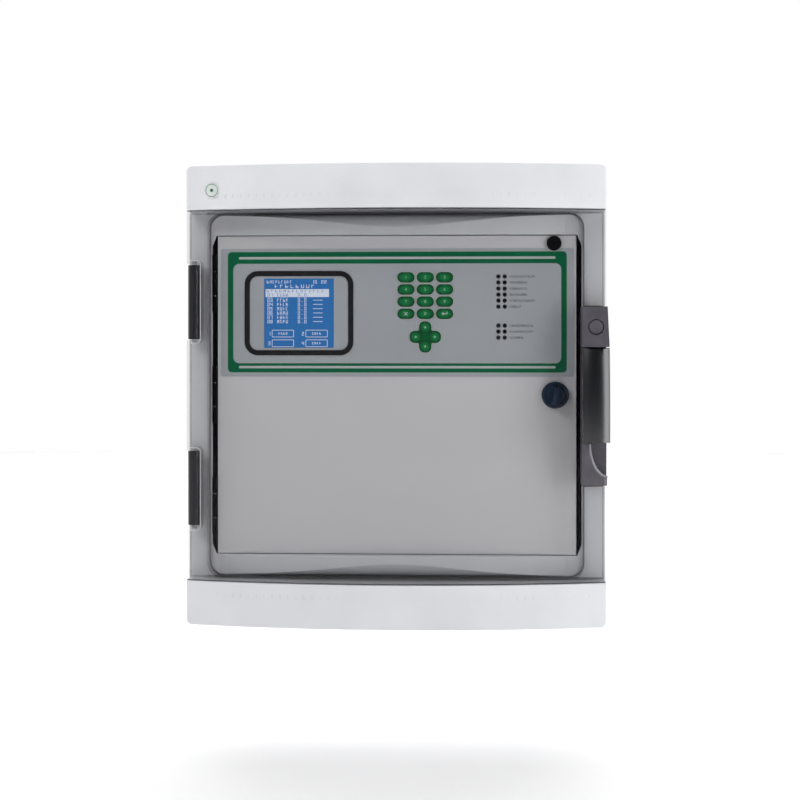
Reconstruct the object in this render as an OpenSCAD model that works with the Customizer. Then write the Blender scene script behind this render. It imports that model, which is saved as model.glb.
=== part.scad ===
// Wall cabinet of a fire and gas alarm control panel: a shallow plastic box with a bowed white
// front frame, a smoked door on two hinges, a sprung pull handle, and behind the door a hinged
// steel panel that carries the display, the keypad, the lamps, a buzzer and a quarter-turn lock.
// X is right, Z is up, and the front faces -Y. The origin is the middle of the wall face.

/* [Cabinet] */
// Width of the cabinet
cab_w = 410; // [400:1:420]
// Height of the cabinet
cab_h = 448; // [444:1:460]
// Depth from the wall to the middle of the front
cab_d = 145; // [143:1:150]
// How far the front bows out between its sides and its middle
bow = 25; // [22:1:27]
// Depth of the back box
box_d = 80; // [76:1:82]
// Wall thickness of the mouldings
wall = 3; // [2.5:0.1:3.5]
// Corner radius of the cabinet seen from the front
corner_r = 6; // [4:0.5:8]

/* [Smoked door] */
// Height of the door
door_h = 362; // [356:1:364]
// Width of the window inside its outline
window_w = 366; // [364:1:368]
// Height of the window inside its outline
window_h = 354; // [350:1:356]
// Length of each hinge barrel
barrel_l = 73; // [60:1:80]
// Height of each hinge barrel above or below the middle
barrel_z = 91.5; // [80:0.5:100]

/* [Inner panel] */
// Width of the opening in the front frame
open_w = 365; // [364:1:366]
// Height of the opening in the front frame
open_h = 315.6; // [314:0.2:318]
// Width of the printed overlay
overlay_w = 349; // [340:1:350]
// Height of the printed overlay
overlay_h = 126.6; // [124:0.2:130]
// Distance between the keypad's columns
key_pitch_x = 19.05; // [18.5:0.05:20]
// Distance between the keypad's rows
key_pitch_z = 12; // [11.5:0.1:13]
// Width of one key
key_w = 16.9; // [15:0.1:17.5]
// Height of one key
key_h = 10.2; // [9:0.1:10.6]

/* [Locks and fixings] */
// Distance between the wall screws, side to side
wall_hole_x = 370; // [360:1:376]
// Distance between the wall screws, top to bottom
wall_hole_z = 380; // [370:1:390]
// Radius of a wall screw hole
wall_hole_r = 3; // [2.5:0.1:3.5]
// Width across the quarter-turn lock's bezel
lock_d = 26.6; // [24:0.2:28]

/* [Hidden] */
$fn = 64;
half_w = cab_w / 2;
half_h = cab_h / 2;
bow_r = (half_w * half_w + bow * bow) / (2 * bow);
bow_cy = bow_r - cab_d;
bow_fn = 256;
flange_y = -100;
skirt_y = -104;
rim_off = 28;
rim_reach = 17.6;
rim_rise = 16.7;
rim_wall = 2.5;
collar_back = -81;
panel_y = -98;
sheet = 2;
run_gap = 0.05;
screw_r = 1.75;

door_z = door_h / 2;
band_gap = 0.5;
door_wall = 3;
skirt_wall = 2;
door_axis = [-half_w + 6, flange_y - 8];
door_pin_r = 2.5;
barrel_r = 6;
notch_end_gap = 0.9;
notch_end_wall = 3;
notch_side_gap = 0.6;
notch_side_wall = 2;
seal_w = 1.4;
seal_h = 3;
rib_w = 1;
skirt_x0 = door_axis[0] + 12;
pin_half = barrel_l / 2 + notch_end_gap + notch_end_wall + 0.6;
groove_w = 1.3;
groove_d = 0.7;

handle_x0 = half_w - 24.2;
handle_x1 = half_w + 0.5;
handle_top = 86.5;
handle_low = -86.7;
lever_x0 = half_w - 23.8;
lever_x1 = half_w + 2;
lever_top = 46.6;
lever_low = -44.6;
lever_mid = (lever_x0 + lever_x1) / 2;
lever_wall = 2.2;
lever_back = -111;
lever_front = -140;
lever_bow_r = 400;
lever_bow_z = -20;
lever_end_r = 5;
crown_r = 24;
crown_end = 40;
lever_gap = 0.8;
lock_blank_r = 6.6;
lock_blank_z = 66.6;
lever_axis_z = lever_top - lever_end_r;
lever_axis_y = lever_y(lever_axis_z) + lever_end_r;
lever_pin_r = 1.25;
lever_reach = lever_axis_z - lever_low;
hook_z = 20;

stile_in = 178;
panel_x0 = -177;
panel_x1 = 177.2;
panel_z = open_h / 2 - 0.8;
panel_axis = [-180.2, panel_y - 0.5];
panel_pin_r = 1.2;
knuckle_r = 2.3;
return_d = 12;

overlay_x = 0.5;
overlay_z = 81.3;
overlay_t = 0.5;
overlay_y = panel_y - overlay_t;
lcd_x = -96.3;
lcd_z = 80.8;
lcd_w = 69.3;
lcd_h = 68.7;
bezel_w = 108;
bezel_h = 83.5;
bezel_r = 13.4;
bezel_line = 5.1;
key_x = 9.8;
key_z = 116.1;
nav_x = key_x + key_pitch_x;
nav_z = 57.25;
nav_reach = 9.4;
nav_w = 11.6;
led_xs = [100.9, 107.1];
led_zs = [for (i = [0:5]) 116.8 - 5.95 * i, 68.4, 62.5, 56.6];
led_r = 1.5;
lock_x = 156.5;
buzzer_x = 155.5;
buzzer_z = 149.6;
buzzer_flange_r = 7.25;
buzzer_body_r = 5.7;
buzzer_flange_z = buzzer_z - 0.3;

badge_x = -178.5;
badge_z = 200;
badge_r = 7.4;
badge_sink = 0.3;
badge_top = 0.9;
badge_groove_d = 0.5;
badge_groove_r = 6.5;
badge_groove_w = 0.8;
dimple_z = 194;
dimple_pitch = 7.9;
dimple_w = 1;
dimple_h = 3.6;
dimple_d = 0.35;

lug_x = 166;
lug_z = 149;
lug_post_r = 5.5;
lug_hole_r = 2.2;
wall_pad_r = 9;
wall_pad_y = -7;
knockout_pitch = 60;
knockout_r = 12.5;
knockout_w = 1;
knockout_d = 0.8;
knockout_y = -40;
entry_w = 100;
entry_h = 22;
entry_r = 6;
entry_z = 200;
entry_edging_w = 2.5;
gasket_w = 3;
plate_w = 310;
plate_z0 = -118;
plate_z1 = 178;
plate_y = -9;
plate_screw_x = 150;
plate_screw_zs = [plate_z0 + 12, plate_z1 - 12];
rail_z = 140;
rail_w = 300;
board_y = -19;
board_t = 1.6;
relay_pitch = 32;
main_y = -88;
battery_w = 151;
battery_low = -221;
battery_high = -127;
battery_front = -70;
bracket_high = -196;
lcd_cut = 78;
lcd_module_w = 76;
keypad_cut_w = 62;
keypad_cut_h = 90;
keypad_board_w = 58;
keypad_board_h = 86;
keypad_mid_z = 80.8;
lamp_cut_w = 12;
lamp_cut_h = 70;
lamp_mid_x = 104;
lamp_mid_z = 86.5;
lock_body_r = 9.5;
lock_core_r = 6;
lock_square = 7;
cam_y = 14.2;
cam_t = 2.5;
key_rise = 0.7;
key_dome = 0.5;

KEYS = ["key_1", "key_2", "key_3", "key_4", "key_5", "key_6", "key_7", "key_8", "key_9",
        "key_cancel", "key_0", "key_enter"];
NAV_KEYS = ["key_up", "key_right", "key_down", "key_left"];

// ---------- shared outlines ----------

// Front of the lever at a height, on its long shallow arc.
function lever_y(z) = lever_front + lever_bow_r
    - sqrt(lever_bow_r * lever_bow_r - (z - lever_bow_z) * (z - lever_bow_z));

// Front surface of the cabinet at a distance from its middle, set back by off.
function front_y(x, off) = bow_cy - sqrt((bow_r - off) * (bow_r - off) - x * x);

// Right half of the plan outline: a rounded front corner that runs out past the bow.
function plan_side(hw, off, back, r) =
    let (cy = bow_cy - sqrt((bow_r - off - r) * (bow_r - off - r) - (hw - r) * (hw - r)))
    concat([[hw, back]],
           [for (a = [0:15:60]) [hw - r + r * cos(a), cy - r * sin(a)]],
           [[hw - 3.1 * r, cy - 2.37 * r], [hw - 3.1 * r, -cab_d - 10]]);

function reversed(list) = [for (i = [len(list) - 1:-1:0]) list[i]];

// Plan of a bowed piece: the bow's circle cut to a width, with rounded front corners.
module plan(hw, off, back, r) {
    side = plan_side(hw, off, back, r);
    intersection() {
        translate([0, bow_cy]) circle(r = bow_r - off, $fn = bow_fn);
        polygon(concat(side, reversed([for (p = side) [-p[0], p[1]]])));
    }
}

module bowed(hw, off, back, r, z0, z1) {
    translate([0, 0, z0]) linear_extrude(z1 - z0) plan(hw, off, back, r);
}

module rrect(w, h, r) {
    square([w - 2 * r, h], center = true);
    square([w, h - 2 * r], center = true);
    for (x = [-1, 1], z = [-1, 1])
        translate([x * (w / 2 - r), z * (h / 2 - r)]) circle(r = r);
}

// A flat outline drawn in X and Z, between two depths.
module yext(y0, y1) {
    translate([0, y1, 0]) rotate([90, 0, 0]) linear_extrude(y1 - y0) children();
}

module yplate(w, h, r, y0, y1, x = 0, z = 0) {
    yext(y0, y1) translate([x, z]) rrect(w, h, r);
}

module ycyl(r, y0, y1, x, z) {
    translate([x, y1, z]) rotate([90, 0, 0]) cylinder(r = r, h = y1 - y0);
}

module zcyl(r, z0, z1, at) {
    translate([at[0], at[1], z0]) cylinder(r = r, h = z1 - z0);
}

module xcyl(r, x0, x1, y, z) {
    translate([x0, y, z]) rotate([0, 90, 0]) cylinder(r = r, h = x1 - x0);
}

module block(x0, x1, y0, y1, z0, z1) {
    translate([x0, y0, z0]) cube([x1 - x0, y1 - y0, z1 - z0]);
}

// An outline drawn in Y and Z, between two places along X.
module xext(x0, x1) {
    translate([x0, 0, 0]) rotate([90, 0, 90]) linear_extrude(x1 - x0) children();
}

module both_ends() {
    children();
    mirror([0, 0, 1]) children();
}

module each_corner(x, z) {
    for (sx = [-1, 1], sz = [-1, 1]) translate([sx * x, 0, sz * z]) children();
}

// ---------- cabinet ----------

module back_box() color("whitesmoke") {
    difference() {
        union() {
            difference() {
                yplate(cab_w, cab_h, corner_r, -box_d, 0);
                yplate(cab_w - 2 * wall, cab_h - 2 * wall, corner_r - wall, -box_d - 1, -wall);
            }
            each_corner(wall_hole_x / 2, wall_hole_z / 2) ycyl(wall_pad_r, wall_pad_y, -wall, 0, 0);
            each_corner(lug_x, lug_z) ycyl(lug_post_r, collar_back + 3, -wall, 0, 0);
            at_plate_screws() ycyl(6, plate_y + 1.5, -wall, 0, 0);
        }
        each_corner(wall_hole_x / 2, wall_hole_z / 2) ycyl(wall_hole_r, wall_pad_y - 1, 1, 0, 0);
        each_corner(lug_x, lug_z) ycyl(screw_r, collar_back + 2, -60, 0, 0);
        at_plate_screws() ycyl(screw_r, -8, -2, 0, 0);
        rear_entry(0, -8, 1);
        both_ends() for (i = [-2:2]) knockout(i * knockout_pitch);
    }
}

module at_plate_screws() {
    for (x = [-plate_screw_x, plate_screw_x], z = plate_screw_zs) translate([x, 0, z]) children();
}

// Cable entry in the back wall, narrower by an edging on every side.
module rear_entry(edging, y0, y1) {
    yplate(entry_w - 2 * edging, entry_h - 2 * edging, entry_r - edging, y0, y1, 0, entry_z);
}

// A cable knock-out: a thin ring cut into the outside of the end wall.
module knockout(x) {
    translate([x, knockout_y, half_h - knockout_d]) difference() {
        cylinder(r = knockout_r, h = 2);
        translate([0, 0, -1]) cylinder(r = knockout_r - knockout_w, h = 4);
    }
}

module cable_entry_edging() color("black") {
    difference() {
        rear_entry(0, -5, 0);
        rear_entry(entry_edging_w, -6, 1);
    }
}

module frame_gasket() color("dimgray") {
    difference() {
        yplate(cab_w - 2 * gasket_w, cab_h - 2 * gasket_w, corner_r - gasket_w,
               -box_d - 2, -box_d + 1);
        yplate(cab_w - 4 * gasket_w, cab_h - 4 * gasket_w, corner_r - gasket_w - 1,
               -box_d - 3, -box_d + 2);
    }
}

// Hollow white band above or below the door, bowed like the door.
module band_outside() {
    bowed(half_w, 0, flange_y + wall, 3, door_z + band_gap, half_h);
}

module band_inside() {
    bowed(half_w - wall, wall, flange_y + wall + 1, 1.5, door_z + band_gap + wall, half_h - wall);
}

// Row of small upright dimples along each band.
module dimples() {
    pitch = atan(dimple_pitch / bow_r);
    translate([0, bow_cy, dimple_z]) for (i = [-22:24])
        rotate([0, 0, i * pitch]) translate([-dimple_w / 2, -bow_r - 1, -dimple_h / 2])
            cube([dimple_w, 1 + dimple_d, dimple_h]);
}

// Side view of the rim: a quarter ellipse that rises from its front lip back to the flange.
module rim_profile(inset, low, back) {
    reach = rim_reach - inset;
    rise = rim_rise - inset;
    foot = open_h / 2 + rim_wall;
    polygon(concat([[back, low], [flange_y - reach, low]],
                   [for (a = [0:7.5:90]) [flange_y - reach * cos(a), foot + rise * sin(a)]],
                   [[back, foot + rise]]));
}

// Raised rim above the opening, which follows the bow behind the door.
module rim() {
    open_z = open_h / 2;
    back = flange_y + wall;
    difference() {
        intersection() {
            bowed(open_w / 2, rim_off, back, 2, open_z, door_z);
            xext(-half_w, half_w) rim_profile(0, open_z, back);
        }
        intersection() {
            bowed(open_w / 2 - wall, rim_off + rim_wall, back + 1, 1, open_z, door_z);
            xext(-half_w, half_w) rim_profile(rim_wall, open_z + rim_wall, back + 1);
        }
    }
}

// Small sloped corner that closes the gap beside the panel at each end.
module mitre(x_in) {
    open_x = open_w / 2;
    open_z = open_h / 2;
    yext(flange_y, flange_y + 1.5)
        polygon([[open_x, open_z], [open_x, open_z - 11], [x_in, open_z]]);
}

module front_frame() color("whitesmoke") {
    open_x = open_w / 2;
    difference() {
        union() {
            intersection() {
                union() {
                    yplate(cab_w, cab_h, corner_r, flange_y, -box_d);
                    both_ends() band_outside();
                }
                yplate(cab_w, cab_h, corner_r, -cab_d - 1, 0);
            }
            both_ends() rim();
        }
        difference() {
            yplate(cab_w - 2 * wall, cab_h - 2 * wall, corner_r - wall, flange_y + wall, -box_d + 1);
            difference() {
                yplate(open_w + 5, open_h + 5, 1, flange_y, collar_back);
                yplate(open_w, open_h, 0.5, flange_y - 1, collar_back + 1);
            }
            each_corner(lug_x, lug_z) block(-10, 18, collar_back - 3, collar_back, -10, 10);
        }
        both_ends() band_inside();
        both_ends() dimples();
        at_badge() ycyl(badge_r + 0.2, -2, badge_sink, 0, 0);
        block(-open_x, open_x, -150, collar_back - 3, -open_h / 2, open_h / 2);
        each_corner(lug_x, lug_z) ycyl(2.2, collar_back - 4, collar_back + 1, 0, 0);
        block(lever_mid - 4.5, lever_mid + 4.5, flange_y - 1, flange_y + wall + 1,
              hook_z - 26, hook_z + 3);
    }
    both_ends() {
        mitre(stile_in + 0.2);
        mirror([1, 0, 0]) mitre(stile_in);
    }
}

module door_seal() color("black") {
    difference() {
        window_plate(0.4 + seal_w, flange_y - seal_h, flange_y);
        window_plate(0.4, flange_y - seal_h - 1, flange_y + 1);
    }
}

// Hinge barrels on the frame: a round barrel for the pin on a foot.
module hinge_barrels() color("darkslategray") {
    both_ends() translate([0, 0, barrel_z]) difference() {
        union() {
            zcyl(barrel_r, -barrel_l / 2, barrel_l / 2, door_axis);
            block(door_axis[0] - 5, door_axis[0] + 3, door_axis[1], flange_y,
                  -barrel_l / 2 + 3, barrel_l / 2 - 3);
        }
        zcyl(door_pin_r + run_gap, -barrel_l, barrel_l, door_axis);
    }
}

module strike_plate() color("silver") {
    half = 7.8;
    difference() {
        block(lever_mid - half, lever_mid + half, flange_y + wall, flange_y + wall + 1.5,
              hook_z - 40, hook_z + 16);
        block(lever_mid - 4, lever_mid + 4, flange_y, flange_y + 10, hook_z - 25, hook_z + 2);
    }
}

// Turns a piece drawn at the middle of the bow to the badge's place on it.
module at_badge() {
    translate([0, bow_cy, badge_z]) rotate([0, 0, asin(badge_x / bow_r)]) translate([0, -bow_r, 0])
        children();
}

module badge_disc() color("gainsboro") {
    at_badge() difference() {
        ycyl(badge_r, -badge_top, badge_sink, 0, 0);
        difference() {
            ycyl(badge_groove_r, -2, -badge_groove_d, 0, 0);
            ycyl(badge_groove_r - badge_groove_w, -2, 0, 0, 0);
        }
    }
}

// ---------- stiles and panel hinges ----------

PANEL_HINGES = [-110, 0, 110];

// Dark upright beside the panel's left edge, with the fixed hinge knuckles.
module hinge_stile() color("black") {
    difference() {
        union() {
            block(-open_w / 2, -stile_in, panel_axis[1] + 3, flange_y + 13,
                  -open_h / 2, open_h / 2);
            for (z = PANEL_HINGES, s = [-1, 1])
                zcyl(knuckle_r, z + s * 20.3 - 8, z + s * 20.3 + 8, panel_axis);
            for (z = PANEL_HINGES, s = [-1, 1])
                block(-open_w / 2, panel_axis[0] + 1.4, panel_axis[1], panel_axis[1] + 4,
                      z + s * 20.3 - 8, z + s * 20.3 + 8);
        }
        for (z = PANEL_HINGES) zcyl(panel_pin_r, z - 30, z + 30, panel_axis);
    }
}

module panel_hinge_pins() color("silver") {
    for (z = PANEL_HINGES) zcyl(panel_pin_r, z - 28.3, z + 28.3, panel_axis);
}

// Dark upright beside the panel's right edge, which the lock's cam catches behind.
module latch_stile() color("black") {
    block(stile_in + 0.8, open_w / 2, flange_y + 2, flange_y + 12, -open_h / 2, open_h / 2);
}

// ---------- fixings ----------

// Pan-head screw along Y, its head's underside at zero, with a cross recess.
module screw(length) {
    head_r = 4;
    head_h = 2.2;
    arm = head_r * 0.65;
    difference() {
        union() {
            ycyl(head_r, -head_h, 0, 0, 0);
            ycyl(screw_r, -head_h / 2, length, 0, 0);
        }
        block(-arm, arm, -head_h - 1, -head_h / 2, -0.5, 0.5);
        block(-0.5, 0.5, -head_h - 1, -head_h / 2, -arm, arm);
    }
}

module cabinet_screws() color("silver") {
    each_corner(lug_x, lug_z) translate([0, collar_back - 3, 0]) screw(20);
    at_plate_screws() translate([0, plate_y, 0]) screw(6.5);
}

// ---------- electrics in the back box ----------

module mounting_plate() color("lightsteelblue") {
    mid_z = (plate_z0 + plate_z1) / 2;
    difference() {
        yplate(plate_w, plate_z1 - plate_z0, 4, plate_y, plate_y + 1.5, 0, mid_z);
        at_plate_screws() ycyl(2, plate_y - 1, plate_y + 2, 0, 0);
    }
}

module din_rail() color("silver") {
    xext(-rail_w / 2, rail_w / 2) polygon([
        [plate_y, rail_z - 12.5], [plate_y, rail_z + 12.5], [plate_y - 6.5, rail_z + 12.5],
        [plate_y - 6.5, rail_z + 17.5], [plate_y - 7.5, rail_z + 17.5],
        [plate_y - 7.5, rail_z + 11.5], [plate_y - 1, rail_z + 11.5],
        [plate_y - 1, rail_z - 11.5], [plate_y - 7.5, rail_z - 11.5],
        [plate_y - 7.5, rail_z - 17.5], [plate_y - 6.5, rail_z - 17.5],
        [plate_y - 6.5, rail_z - 12.5]]);
}

// One modular terminal with a screw well and a wire mouth at each end.
module rail_terminal(x, w, h, d) {
    top_y = plate_y - 7.5 - d;
    difference() {
        union() {
            block(x, x + w - 0.4, top_y + 10, plate_y - 7.6, rail_z - h / 2, rail_z + h / 2);
            block(x, x + w - 0.4, top_y, top_y + 10.1, rail_z - h / 3, rail_z + h / 3);
        }
        for (s = [-1, 1]) {
            ycyl(w * 0.3, top_y + 4, top_y + 18, x + w / 2, rail_z + s * h * 0.42);
            block(x + w * 0.2, x + w * 0.75, top_y + 14, top_y + 19,
                  rail_z + s * h / 2 - 5, rail_z + s * h / 2 + 5);
        }
    }
}

module terminal_blocks() color("lightgray") {
    for (i = [0:19]) rail_terminal(-145 + 8.2 * i, 8.2, 44, 32);
}

module mains_terminal_block() color("gray") {
    for (i = [0:2]) rail_terminal(60 + 15 * i, 15, 60, 42);
}

module power_supply() color("silver") {
    x0 = -15;
    x1 = 145;
    z0 = -112;
    z1 = -14;
    front = plate_y - 38;
    difference() {
        block(x0, x1, front, plate_y, z0, z1);
        block(x0 - 1, x0 + 16, front - 1, plate_y - 12, z0 + 2, z1 - 2);
        for (i = [0:8], k = [0:4])
            block(x0 + 34 + i * 13, x0 + 43 + i * 13, front - 1, front + 0.8,
                  z0 + 14 + k * 16, z0 + 18 + k * 16);
    }
    for (i = [0:6]) block(x0 + 2, x0 + 15.9, plate_y - 24, plate_y - 12.01,
                          z0 + 8 + i * 12, z0 + 18 + i * 12);
}

// Two sealed batteries, each with two blade terminals.
module batteries() color("dimgray") {
    blade_half = 2.4;
    blade_y = battery_front + 7;
    for (x0 = [-154, 3]) {
        block(x0, x0 + battery_w, battery_front, -5, battery_low, battery_high);
        for (x = [x0 + 12, x0 + battery_w - 12])
            block(x - blade_half, x + blade_half, blade_y, blade_y + 0.8,
                  battery_high, battery_high + 6.5);
    }
}

module battery_bracket() color("lightsteelblue") {
    half = 158;
    front = battery_front - 2;
    steel = 1.5;
    block(-half, half, front, battery_front - 0.2, battery_low, bracket_high);
    for (x = [-half - steel, half])
        block(x, x + steel, front, -wall, battery_low, bracket_high);
}

// The relay board stands on four spacers, one near each corner.
module relay_board() color("darkgreen") {
    hole_r = 1.6;
    spacer_r = 3;
    xs = [-145, 143];
    zs = [11, 93];
    difference() {
        union() {
            block(xs[0] - 5, xs[1] + 5, board_y, board_y + board_t, zs[0] - 5, zs[1] + 5);
            for (x = xs, z = zs) ycyl(spacer_r, board_y + board_t, plate_y, x, z);
        }
        for (x = xs, z = zs) ycyl(hole_r, board_y - 1, plate_y - 2, x, z);
    }
}

module relays() color("royalblue") {
    side = 19;
    tall = 15.5;
    for (i = [0:7]) translate([-130 + i * relay_pitch, board_y - tall, 60]) cube([side, tall, tall]);
}

module board_connectors() color("forestgreen") {
    long = 26;
    tall = 12;
    for (i = [0:7]) translate([-134 + i * relay_pitch, board_y - tall, 82]) difference() {
        cube([long, tall, 14]);
        for (k = [0:4]) ycyl(1.5, -1, tall / 2, 3 + k * 5, 4);
    }
}

// ---------- smoked door ----------

// Rounded plate that follows the window's outline at a distance outside it.
module window_plate(margin, y0, y1) {
    yplate(window_w + 2 * margin, window_h + 2 * margin, 13 + margin, y0, y1);
}

// Ring along the window's outline, between two distances outside it.
module window_ring(inner, outer, y0, y1) {
    difference() {
        window_plate(outer, y0, y1);
        window_plate(inner, y0 - 1, y1 + 1);
    }
}

// Notch in the door round a hinge barrel, with a gap beside the barrel and one past each end.
module hinge_notch(side, end, r, y1) {
    reach = 40;
    translate([0, 0, barrel_z])
        yplate(reach, barrel_l + 2 * end, r, -cab_d - 1, y1,
               door_axis[0] + barrel_r + side - reach / 2, 0);
}

// Edge of the door behind its bowed front: the walls on three sides reach nearly to the flange.
module door_skirt() {
    back = flange_y - 0.4;
    difference() {
        block(skirt_x0, half_w, skirt_y - 1, back, -door_z, door_z);
        block(skirt_x0 - 1, half_w - skirt_wall, skirt_y - 2, back + 1,
              -door_z + skirt_wall, door_z - skirt_wall);
    }
}

module door_cover() color("slategray", 0.5) {
    difference() {
        union() {
            difference() {
                bowed(half_w, 0, skirt_y, 4, -door_z, door_z);
                bowed(half_w - door_wall, door_wall, skirt_y + 1, 2,
                      -door_z + door_wall, door_z - door_wall);
            }
            door_skirt();
            intersection() {
                window_ring(0.6, 0.6 + rib_w, -cab_d, flange_y - seal_h - 0.2);
                bowed(half_w, door_wall / 2, flange_y, 4, -door_z, door_z);
            }
            intersection() {
                both_ends() hinge_notch(notch_side_gap + notch_side_wall,
                                        notch_end_gap + notch_end_wall, 4, skirt_y);
                bowed(half_w, 0, skirt_y, 4, -door_z, door_z);
            }
        }
        difference() {
            window_ring(0, groove_w, -cab_d - 5, flange_y);
            bowed(half_w, groove_d, flange_y + 1, 4, -door_z, door_z);
        }
        both_ends() hinge_notch(notch_side_gap, notch_end_gap, 2, skirt_y + 1);
        both_ends() zcyl(door_pin_r, barrel_z - pin_half, barrel_z + pin_half, door_axis);
        block(handle_x0, half_w + 1, -cab_d, skirt_y, handle_low, handle_top);
    }
}

module door_hinge_pins() color("silver") {
    both_ends() zcyl(door_pin_r, barrel_z - pin_half, barrel_z + pin_half, door_axis);
}

// ---------- handle on the door ----------

// Plan of the handle: flat sides with a crowned front.
module handle_plan(inset) {
    intersection() {
        translate([lever_x0 + inset, lever_front - 1])
            square([lever_x1 - lever_x0 - 2 * inset, 60]);
        translate([lever_mid, lever_front - 0.5 + crown_r])
            circle(r = crown_r - inset, $fn = 128);
    }
    translate([lever_x0 + inset, lever_front + 22])
        square([lever_x1 - lever_x0 - 2 * inset, 20]);
}

function ellipse_arc(cx, cz, rx, rz) =
    concat([[cx + 10, cz + 1]], [for (a = [180:7.5:270]) [cx + rx * cos(a), cz + rz * sin(a)]],
           [[cx + 10, cz - rz]]);

module handle_base() color("dimgray") {
    front_low = front_y(handle_x0, 0) - 0.8;
    low_z = lever_low - lever_gap;
    high_z = lever_top + lever_gap;
    difference() {
        union() {
            block(handle_x0, handle_x1, lever_back + 1, skirt_y, handle_low, handle_top);
            intersection() {
                translate([0, 0, -100]) linear_extrude(200)
                    polygon([[handle_x0, skirt_y], [handle_x0, front_low],
                             [handle_x1 - 3, front_low + 2.2], [handle_x1, front_low + 4.5],
                             [handle_x1, skirt_y]]);
                union() {
                    block(handle_x0, handle_x1, -130, skirt_y, handle_low, low_z);
                    block(handle_x0, handle_x1, -130, skirt_y, high_z, handle_top);
                }
            }
            intersection() {
                translate([0, 0, -100]) linear_extrude(200) handle_plan(0);
                xext(handle_x0, lever_x1)
                    polygon([[skirt_y, high_z], [lever_y(lever_top) + 0.4, high_z],
                             [front_low - 0.8, handle_top - 3], [front_low + 0.2, handle_top],
                             [skirt_y, handle_top]]);
                yext(lever_front - 1, skirt_y)
                    polygon([[handle_x0, high_z], [lever_x1 - 0.3, high_z],
                             [handle_x1, handle_top], [handle_x0, handle_top]]);
            }
            xcyl(2.5, lever_mid - 4, lever_mid + 4, lever_axis_y, lever_axis_z);
            block(lever_mid - 4, lever_mid + 4, lever_axis_y, skirt_y - 4,
                  lever_axis_z - 2.5, lever_axis_z + 2.5);
        }
        yext(-150, -113) polygon(ellipse_arc(handle_x1, low_z, 18.5, 33));
        ycyl(lock_blank_r + 1, -150, -124, lever_mid, lock_blank_z);
        ycyl(5, -130, skirt_y - 6, lever_mid, lock_blank_z);
        xcyl(lever_pin_r, 0, 300, lever_axis_y, lever_axis_z);
        block(lever_mid - 3, lever_mid + 3, -120, skirt_y + 1, hook_z - 38, hook_z + 4);
    }
}

module handle_lock() color("gray") {
    ycyl(lock_blank_r, -130.2, -124, lever_mid, lock_blank_z);
    ycyl(5, -124, skirt_y - 6, lever_mid, lock_blank_z);
}

module handle_pin() color("silver") {
    xcyl(lever_pin_r, lever_mid - 8.6, lever_mid + 8.6, lever_axis_y, lever_axis_z);
}

// Torsion spring round the pin: close turns with two straight legs.
module handle_spring() color("silver") {
    for (i = [0:2]) translate([lever_mid + 4.75 + 0.75 * i, lever_axis_y, lever_axis_z])
        rotate([0, 90, 0]) rotate_extrude() translate([1.75, 0]) circle(r = 0.35, $fn = 16);
}

// Side view of the lever, rounded about its pin at the top. Its lower end is an arc about the pin,
// so that it clears the base as it swings out.
module lever_side(inset) {
    intersection() {
        translate([lever_axis_y, lever_axis_z]) circle(r = lever_reach - inset, $fn = bow_fn);
        translate([lever_front + lever_bow_r, lever_bow_z])
            circle(r = lever_bow_r - inset, $fn = bow_fn);
        translate([lever_front - 1, lever_low + inset])
            square([lever_back - lever_front + 1, lever_axis_z - lever_low - inset]);
    }
    translate([lever_axis_y, lever_axis_z]) circle(r = lever_end_r - inset);
    translate([lever_axis_y, lever_axis_z - 1])
        square([lever_back - lever_axis_y, lever_end_r + 1 - inset]);
}

// Solid whose crowned front is swept along the lever's long shallow arc.
module crown_sweep(inset) {
    r = crown_r - inset;
    inner = lever_bow_r - 60;
    half = r * sin(crown_end);
    translate([lever_mid, lever_front + lever_bow_r, lever_bow_z]) rotate([0, 90, 0])
        rotate_extrude($fn = 720)
            polygon(concat([[inner, -half]],
                           [for (a = [-crown_end:2:crown_end])
                               [lever_bow_r - crown_r + r * cos(a), r * sin(a)]],
                           [[inner, half]]));
}

module lever_solid(inset) {
    intersection() {
        crown_sweep(inset);
        xext(lever_x0 + inset, lever_x1 - inset) lever_side(inset);
    }
}

module handle_lever() color("darkslategray") {
    lug_in = lever_mid - 8.5;
    difference() {
        union() {
            difference() {
                lever_solid(0);
                lever_solid(lever_wall);
                block(lever_x0 + lever_wall, lever_x1 - lever_wall, lever_back - 3, lever_back + 1,
                      lever_low + lever_wall, lever_axis_z + 1);
            }
            for (x = [lug_in, lever_mid + 6.9]) intersection() {
                lever_solid(0);
                block(x, x + 1.6, -140, lever_back, lever_axis_z - 4, lever_top);
            }
        }
        block(lever_mid - 4.6, lever_mid + 6.7, lever_axis_y - 2.8, lever_back + 1,
              lever_axis_z - 8, lever_top + 1);
        xcyl(lever_pin_r + run_gap, lug_in - 0.5, lever_mid + 8.8, lever_axis_y, lever_axis_z);
    }
}

// Steel hook that reaches back from the lever through the strike plate.
module latch_hook() color("silver") {
    nose_y = flange_y + wall + 1.9;
    inside = lever_y(hook_z) + lever_wall + 0.9;
    pad_half = 5;
    block(lever_mid - 2, lever_mid + 2, inside, nose_y + 3, hook_z - 10, hook_z);
    block(lever_mid - 2, lever_mid + 2, nose_y, nose_y + 3, hook_z - 0.1, hook_z + 1.7);
    block(lever_mid - pad_half, lever_mid + pad_half, inside, inside + 2, hook_z - 12, hook_z + 2);
}

// ---------- inner panel ----------

module key_outline(gap) {
    rrect(key_w + 2 * gap, key_h + 2 * gap, key_h / 2 + gap - 0.1);
}

module nav_outline(gap) {
    rrect(nav_w + 2 * gap, nav_w + 2 * gap, 4.6 + gap);
}

function key_at(i) = [key_x + (i % 3) * key_pitch_x, key_z - floor(i / 3) * key_pitch_z];
function nav_at(i) = [nav_x + nav_reach * sin(90 * i), nav_z + nav_reach * cos(90 * i)];

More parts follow.
